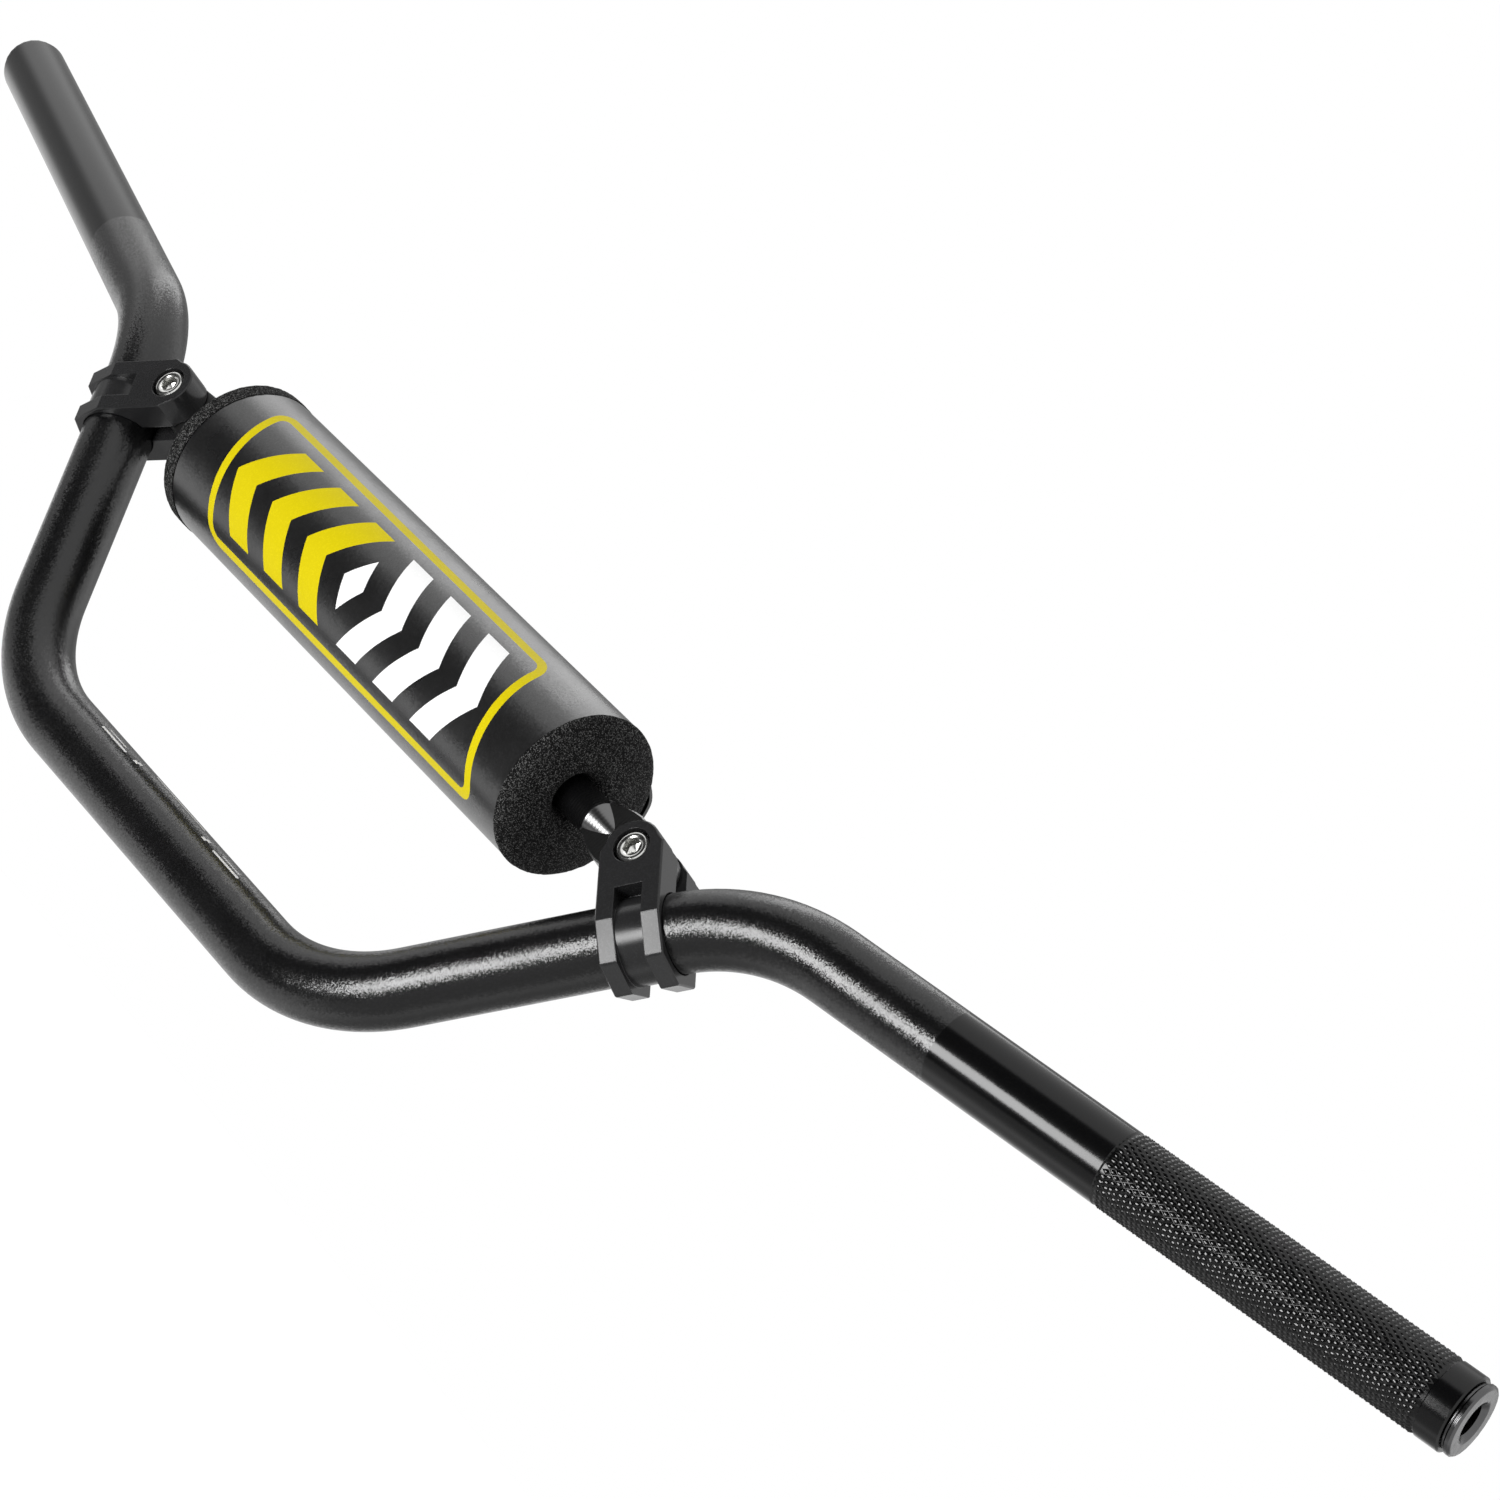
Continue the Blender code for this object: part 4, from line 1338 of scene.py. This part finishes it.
@dataclass
class Closure:
    """The hook-and-loop closure under the cover's outer flap, and its stitching."""

    pad: Pad
    strip_thickness: float = 0.0007
    strip_width: float = 0.016
    strip_end_gap: float = 0.0065
    strip_steps: int = 12
    gap: float = 0.0003
    stitch_inset: float = 0.0015
    stitch_pitch: float = 0.0030
    stitch_length: float = 0.0021
    stitch_radius: float = 0.00028
    stitch_sides: int = 6
    stitch_rings: int = 4
    stitch_smooth_degrees: float = 80.0

    @property
    def middle(self) -> float:
        """The angle of the closure's middle."""
        return self.pad.lap_start + self.pad.lap_angle / 2

    @property
    def length(self) -> float:
        """The length of the strips and of the rows of stitches."""
        return self.pad.cover_length - 2 * self.strip_end_gap

    def strip(self, name: str, radius: float, material: Material) -> Piece:
        """Make one curved strip of tape.

        Args:
            name: The piece's name.
            radius: Its inner radius.
            material: Its finish.

        Returns:
            The strip's object.
        """
        shares = [step / self.strip_steps - 0.5 for step in range(self.strip_steps + 1)]
        angles = [self.middle + self.strip_width / radius * share for share in shares]
        outline = [(radius, a) for a in angles]
        outline += [(radius + self.strip_thickness, a) for a in reversed(angles)]
        ends = [self.pad.cover_shift + sign * self.length / 2 for sign in (-1, 1)]
        bm = bmesh.new()
        loft(bm, [[self.pad.around(x, r, a) for r, a in outline] for x in ends])
        return make_piece(name, bm, [material])

    @staticmethod
    def row_tree() -> Tree:
        """Make the tree that lays a row of stitches along X, from x 0.

        Returns:
            The Geometry Nodes tree.
        """
        sizes = {"Int": "Count Sides Rings", "Float": "Pitch Length Radius", "Material": "Finish"}
        recipe, given = start_group("stitch_row", Family.GEOMETRY, sizes, SHAPE)
        step = recipe.first(COMBINE, {0: given["Pitch"]})
        row = recipe.first("GeometryNodeMeshLine", {"Count": given["Count"], "Offset": step})
        bead = recipe.first("GeometryNodeMeshUVSphere", {
            "Segments": given["Sides"], "Rings": given["Rings"], "Radius": 1.0})
        half = recipe.maths("MULTIPLY", given["Length"], 0.5)
        size = recipe.first(COMBINE, {0: half, 1: given["Radius"], 2: given["Radius"]})
        return scatter(recipe, given["Finish"], Points=row, Instance=bead, Scale=size)

    def stitches(self, material: Material) -> Piece:
        """Make the two rows of stitches along the outer flap with Geometry Nodes.

        Args:
            material: The thread's finish.

        Returns:
            The stitches' object.
        """
        tree = self.row_tree()
        count = int(self.length / self.stitch_pitch)
        pitch = self.length / count
        values = {
            "Count": count, "Sides": self.stitch_sides, "Rings": self.stitch_rings,
            "Pitch": pitch, "Length": self.stitch_length, "Radius": self.stitch_radius,
            "Finish": material}
        radius = self.pad.lap_inner_radius + self.pad.cover_thickness
        offset = (self.strip_width / 2 - self.stitch_inset) / radius
        start = self.pad.cover_shift - self.length / 2 + pitch / 2
        bm = bmesh.new()
        for angle in (self.middle - offset, self.middle + offset):
            row = grow("stitch_row", tree, values)
            row.data.transform(Matrix.Translation(self.pad.around(start, radius, angle)))
            bm.from_mesh(row.data)
            bpy.data.objects.remove(row)
        return make_piece("closure_stitches", bm, [material], self.stitch_smooth_degrees)

    def dress(self, effects: Effects) -> list[Piece]:
        """Make both strips and the stitches, and let the strips stand for their nodes.

        Args:
            effects: The shared node groups.

        Returns:
            The finished pieces.
        """
        tape = TAPE_BLACK.make(effects)
        radius = self.pad.cover_outer_radius
        pieces = []
        for side in ("loop", "hook"):
            radius += self.gap
            strip = self.strip(f"{side}_tape", radius, tape)
            pieces.append(settle(strip, "closure_tape", f"closure_{side}_strip"))
            radius += self.strip_thickness
        return [*pieces, settle(self.stitches(THREAD_GREY.make(effects)), None)]


# Studio


@dataclass(frozen=True)
class PhotoCamera:
    """The photograph's camera, as fitted to the bar's outlines."""

    location: Triple = (1.001476, -0.952292, -0.011927)
    right: Triple = (0.551216, 0.363593, 0.750973)
    up: Triple = (-0.499785, -0.576834, 0.646125)
    back: Triple = (0.668114, -0.731480, -0.136242)
    focal_length_px: float = 4733.61
    centre_px: Pair = (838.70, 691.35)
    image_px: float = 1500.0
    sensor_mm: float = 36.0
    clip: Pair = (0.05, 100.0)

    def place(self) -> None:
        """Make the camera and use it."""
        data = bpy.data.cameras.new("photo_camera")
        data.sensor_width = self.sensor_mm
        data.lens = self.focal_length_px / self.image_px * self.sensor_mm
        data.shift_x = 0.5 - self.centre_px[0] / self.image_px
        data.shift_y = self.centre_px[1] / self.image_px - 0.5
        data.clip_start, data.clip_end = self.clip
        camera = bpy.data.objects.new("photo_camera", data)
        turn = Matrix((self.right, self.up, self.back)).transposed().to_4x4()
        camera.matrix_world = Matrix.Translation(self.location) @ turn
        bpy.context.scene.collection.objects.link(camera)
        bpy.context.scene.camera = camera


@dataclass(frozen=True)
class SoftBox:
    """A soft box, aimed at a point of the bar."""

    name: str
    direction: Triple
    distance: float
    width: float
    height: float
    radiance: float
    target: Triple = (0.16, 0.0, 0.09)

    def place(self) -> None:
        """Make the lamp. Its power follows from its radiance and its size."""
        data = bpy.data.lights.new(self.name, "AREA")
        data.shape = "RECTANGLE"
        data.size, data.size_y = self.width, self.height
        data.energy = self.radiance * math.pi * self.width * self.height
        lamp = bpy.data.objects.new(self.name, data)
        away = Vector(self.direction).normalized()
        turn = away.to_track_quat("Z", "Y").to_matrix().to_4x4()
        lamp.matrix_world = Matrix.Translation(Vector(self.target) + away * self.distance) @ turn
        lamp.visible_camera = False
        bpy.context.scene.collection.objects.link(lamp)


@dataclass(frozen=True)
class Opening:
    """An opening in the white surround: its axis, its edges as cosines, and its dark level."""

    axis: Triple
    inner: float
    outer: float
    dark: float


@dataclass
class Studio:
    """A plain pale floor, a white surround with five openings, and two soft boxes."""

    effects: Effects
    floor_height: float = -0.9
    floor_size: float = 60.0
    floor_colour: Triple = (0.6, 0.6, 0.6)
    floor_glow: float = 0.8
    floor_side_light: float = 0.08
    overhead_light: float = 1.0
    light_heights: Pair = (-0.3, 0.8)
    openings: tuple[Opening, ...] = (
        Opening((-0.266, -0.907, -0.323), 0.71, 0.62, 0.02),
        Opening((-0.99, -0.07, -0.10), 0.99, 0.92, 0.35),
        Opening((0.45, -0.20, -0.87), 0.95, 0.80, 0.45),
        Opening((-0.60, 0.68, 0.42), 0.97, 0.84, 0.35),
        Opening((0.12, 0.78, -0.61), 0.97, 0.78, 0.40),
    )
    boxes: tuple[SoftBox, ...] = (
        SoftBox("key_box", (-0.07, -0.84, -0.54), 1.3, 0.55, 0.55, 16.0),
        SoftBox("fill_box", (-0.70, 0.12, 0.70), 2.6, 2.2, 0.72, 1.8, (0.0, 0.0, 0.05)),
    )

    def surround(self, recipe: Recipe, direction: Socket) -> Socket:
        """Add the surround's brightness to a tree.

        Args:
            recipe: The tree's recipe.
            direction: The socket with the direction from the bar.

        Returns:
            The brightness.
        """
        level = None
        for opening in self.openings:
            part = recipe.group(
                self.effects.opening, Direction=direction, **inputs_of(opening))["Brightness"]
            level = recipe.maths("MULTIPLY", level, part) if level else part
        return level

    def light_world(self) -> None:
        """Set the world: white for the camera, the surround for gloss, and a softer light."""
        world = bpy.data.worlds.new("studio_world")
        world.use_nodes = True
        bpy.context.scene.world = world
        recipe = Recipe(world.node_tree)
        place = recipe.add("ShaderNodeTexCoord").outputs["Generated"]
        level = self.surround(recipe, place)
        path = recipe.add("ShaderNodeLightPath").outputs
        mirrored = recipe.maths("ADD", path["Is Glossy Ray"], path["Is Transmission Ray"])
        height = recipe.add(SEPARATE, {0: place}).outputs["Z"]
        soft = recipe.spread(
            height, self.floor_side_light, self.overhead_light, *self.light_heights)
        lit = recipe.maths("MULTIPLY", level, recipe.maths("MAXIMUM", soft, mirrored))
        strength = recipe.maths("MAXIMUM", path["Is Camera Ray"], lit)
        values = {"Color": (1.0, 1.0, 1.0, 1.0), "Strength": strength}
        background = recipe.first("ShaderNodeBackground", values)
        recipe.add("ShaderNodeOutputWorld", {"Surface": background})

    def floor_material(self) -> Material:
        """Make the floor's white, which keeps shadows and looks like the surround in gloss.

        Returns:
            The floor's material.
        """
        material = bpy.data.materials.new("pale_floor")
        material.use_nodes = True
        recipe = Recipe(material.node_tree)
        matt = recipe.first("ShaderNodeBsdfDiffuse", {"Color": (*self.floor_colour, 1.0)})
        path = recipe.add("ShaderNodeLightPath").outputs
        glow = recipe.maths("MULTIPLY", path["Is Camera Ray"], self.floor_glow)
        shine = recipe.first("ShaderNodeEmission", {"Strength": glow})
        seen = recipe.first("ShaderNodeAddShader", {0: matt, 1: shine})
        level = self.surround(recipe, recipe.add("ShaderNodeTexCoord").outputs["Object"])
        mirrored = recipe.maths("ADD", path["Is Glossy Ray"], path["Is Transmission Ray"])
        mirror = recipe.first("ShaderNodeEmission", {"Strength": level})
        mixed = recipe.first("ShaderNodeMixShader", {0: mirrored, 1: seen, 2: mirror})
        recipe.add("ShaderNodeOutputMaterial", {"Surface": mixed})
        return material

    def lay_floor(self) -> None:
        """Make the floor."""
        half = self.floor_size / 2
        bm = bmesh.new()
        corners = [(-half, -half), (half, -half), (half, half), (-half, half)]
        bm.faces.new([bm.verts.new((x, y, self.floor_height)) for x, y in corners])
        make_piece("floor", bm, [self.floor_material()])

    def build(self) -> None:
        """Make the camera, the world, the floor and the lamps."""
        PhotoCamera().place()
        self.light_world()
        self.lay_floor()
        for box in self.boxes:
            box.place()
        bpy.context.scene.view_settings.view_transform = "Standard"


def main() -> None:
    """Dress the frame: load it, build each sub-assembly in order, work out the cover's flat size,
    and log each piece's face count.
    """
    logging.basicConfig(level=logging.INFO, format="%(message)s")
    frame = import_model()
    effects = Effects()
    Studio(effects).build()
    tube, pad = BarTube(), Pad()
    cover_maker = PrintedCover(pad, PrintDesign())
    pieces = [maker.dress(effects) for maker in (tube, GripKnurl(tube), CentreMarks(tube))]
    pieces += MachinedNodes(frame["nodes"]).dress(effects)
    foam = FoamRoll(pad).dress(effects)
    cover = cover_maker.dress(effects)
    closure = Closure(pad).dress(effects)
    flat = (pad.cover_length, cover_maker.girth())
    pieces += [foam, cover, *closure]
    for piece in pieces:
        LOG.info("%s: %d faces", piece.name, len(piece.data.polygons))


if __name__ == "__main__":
    main()
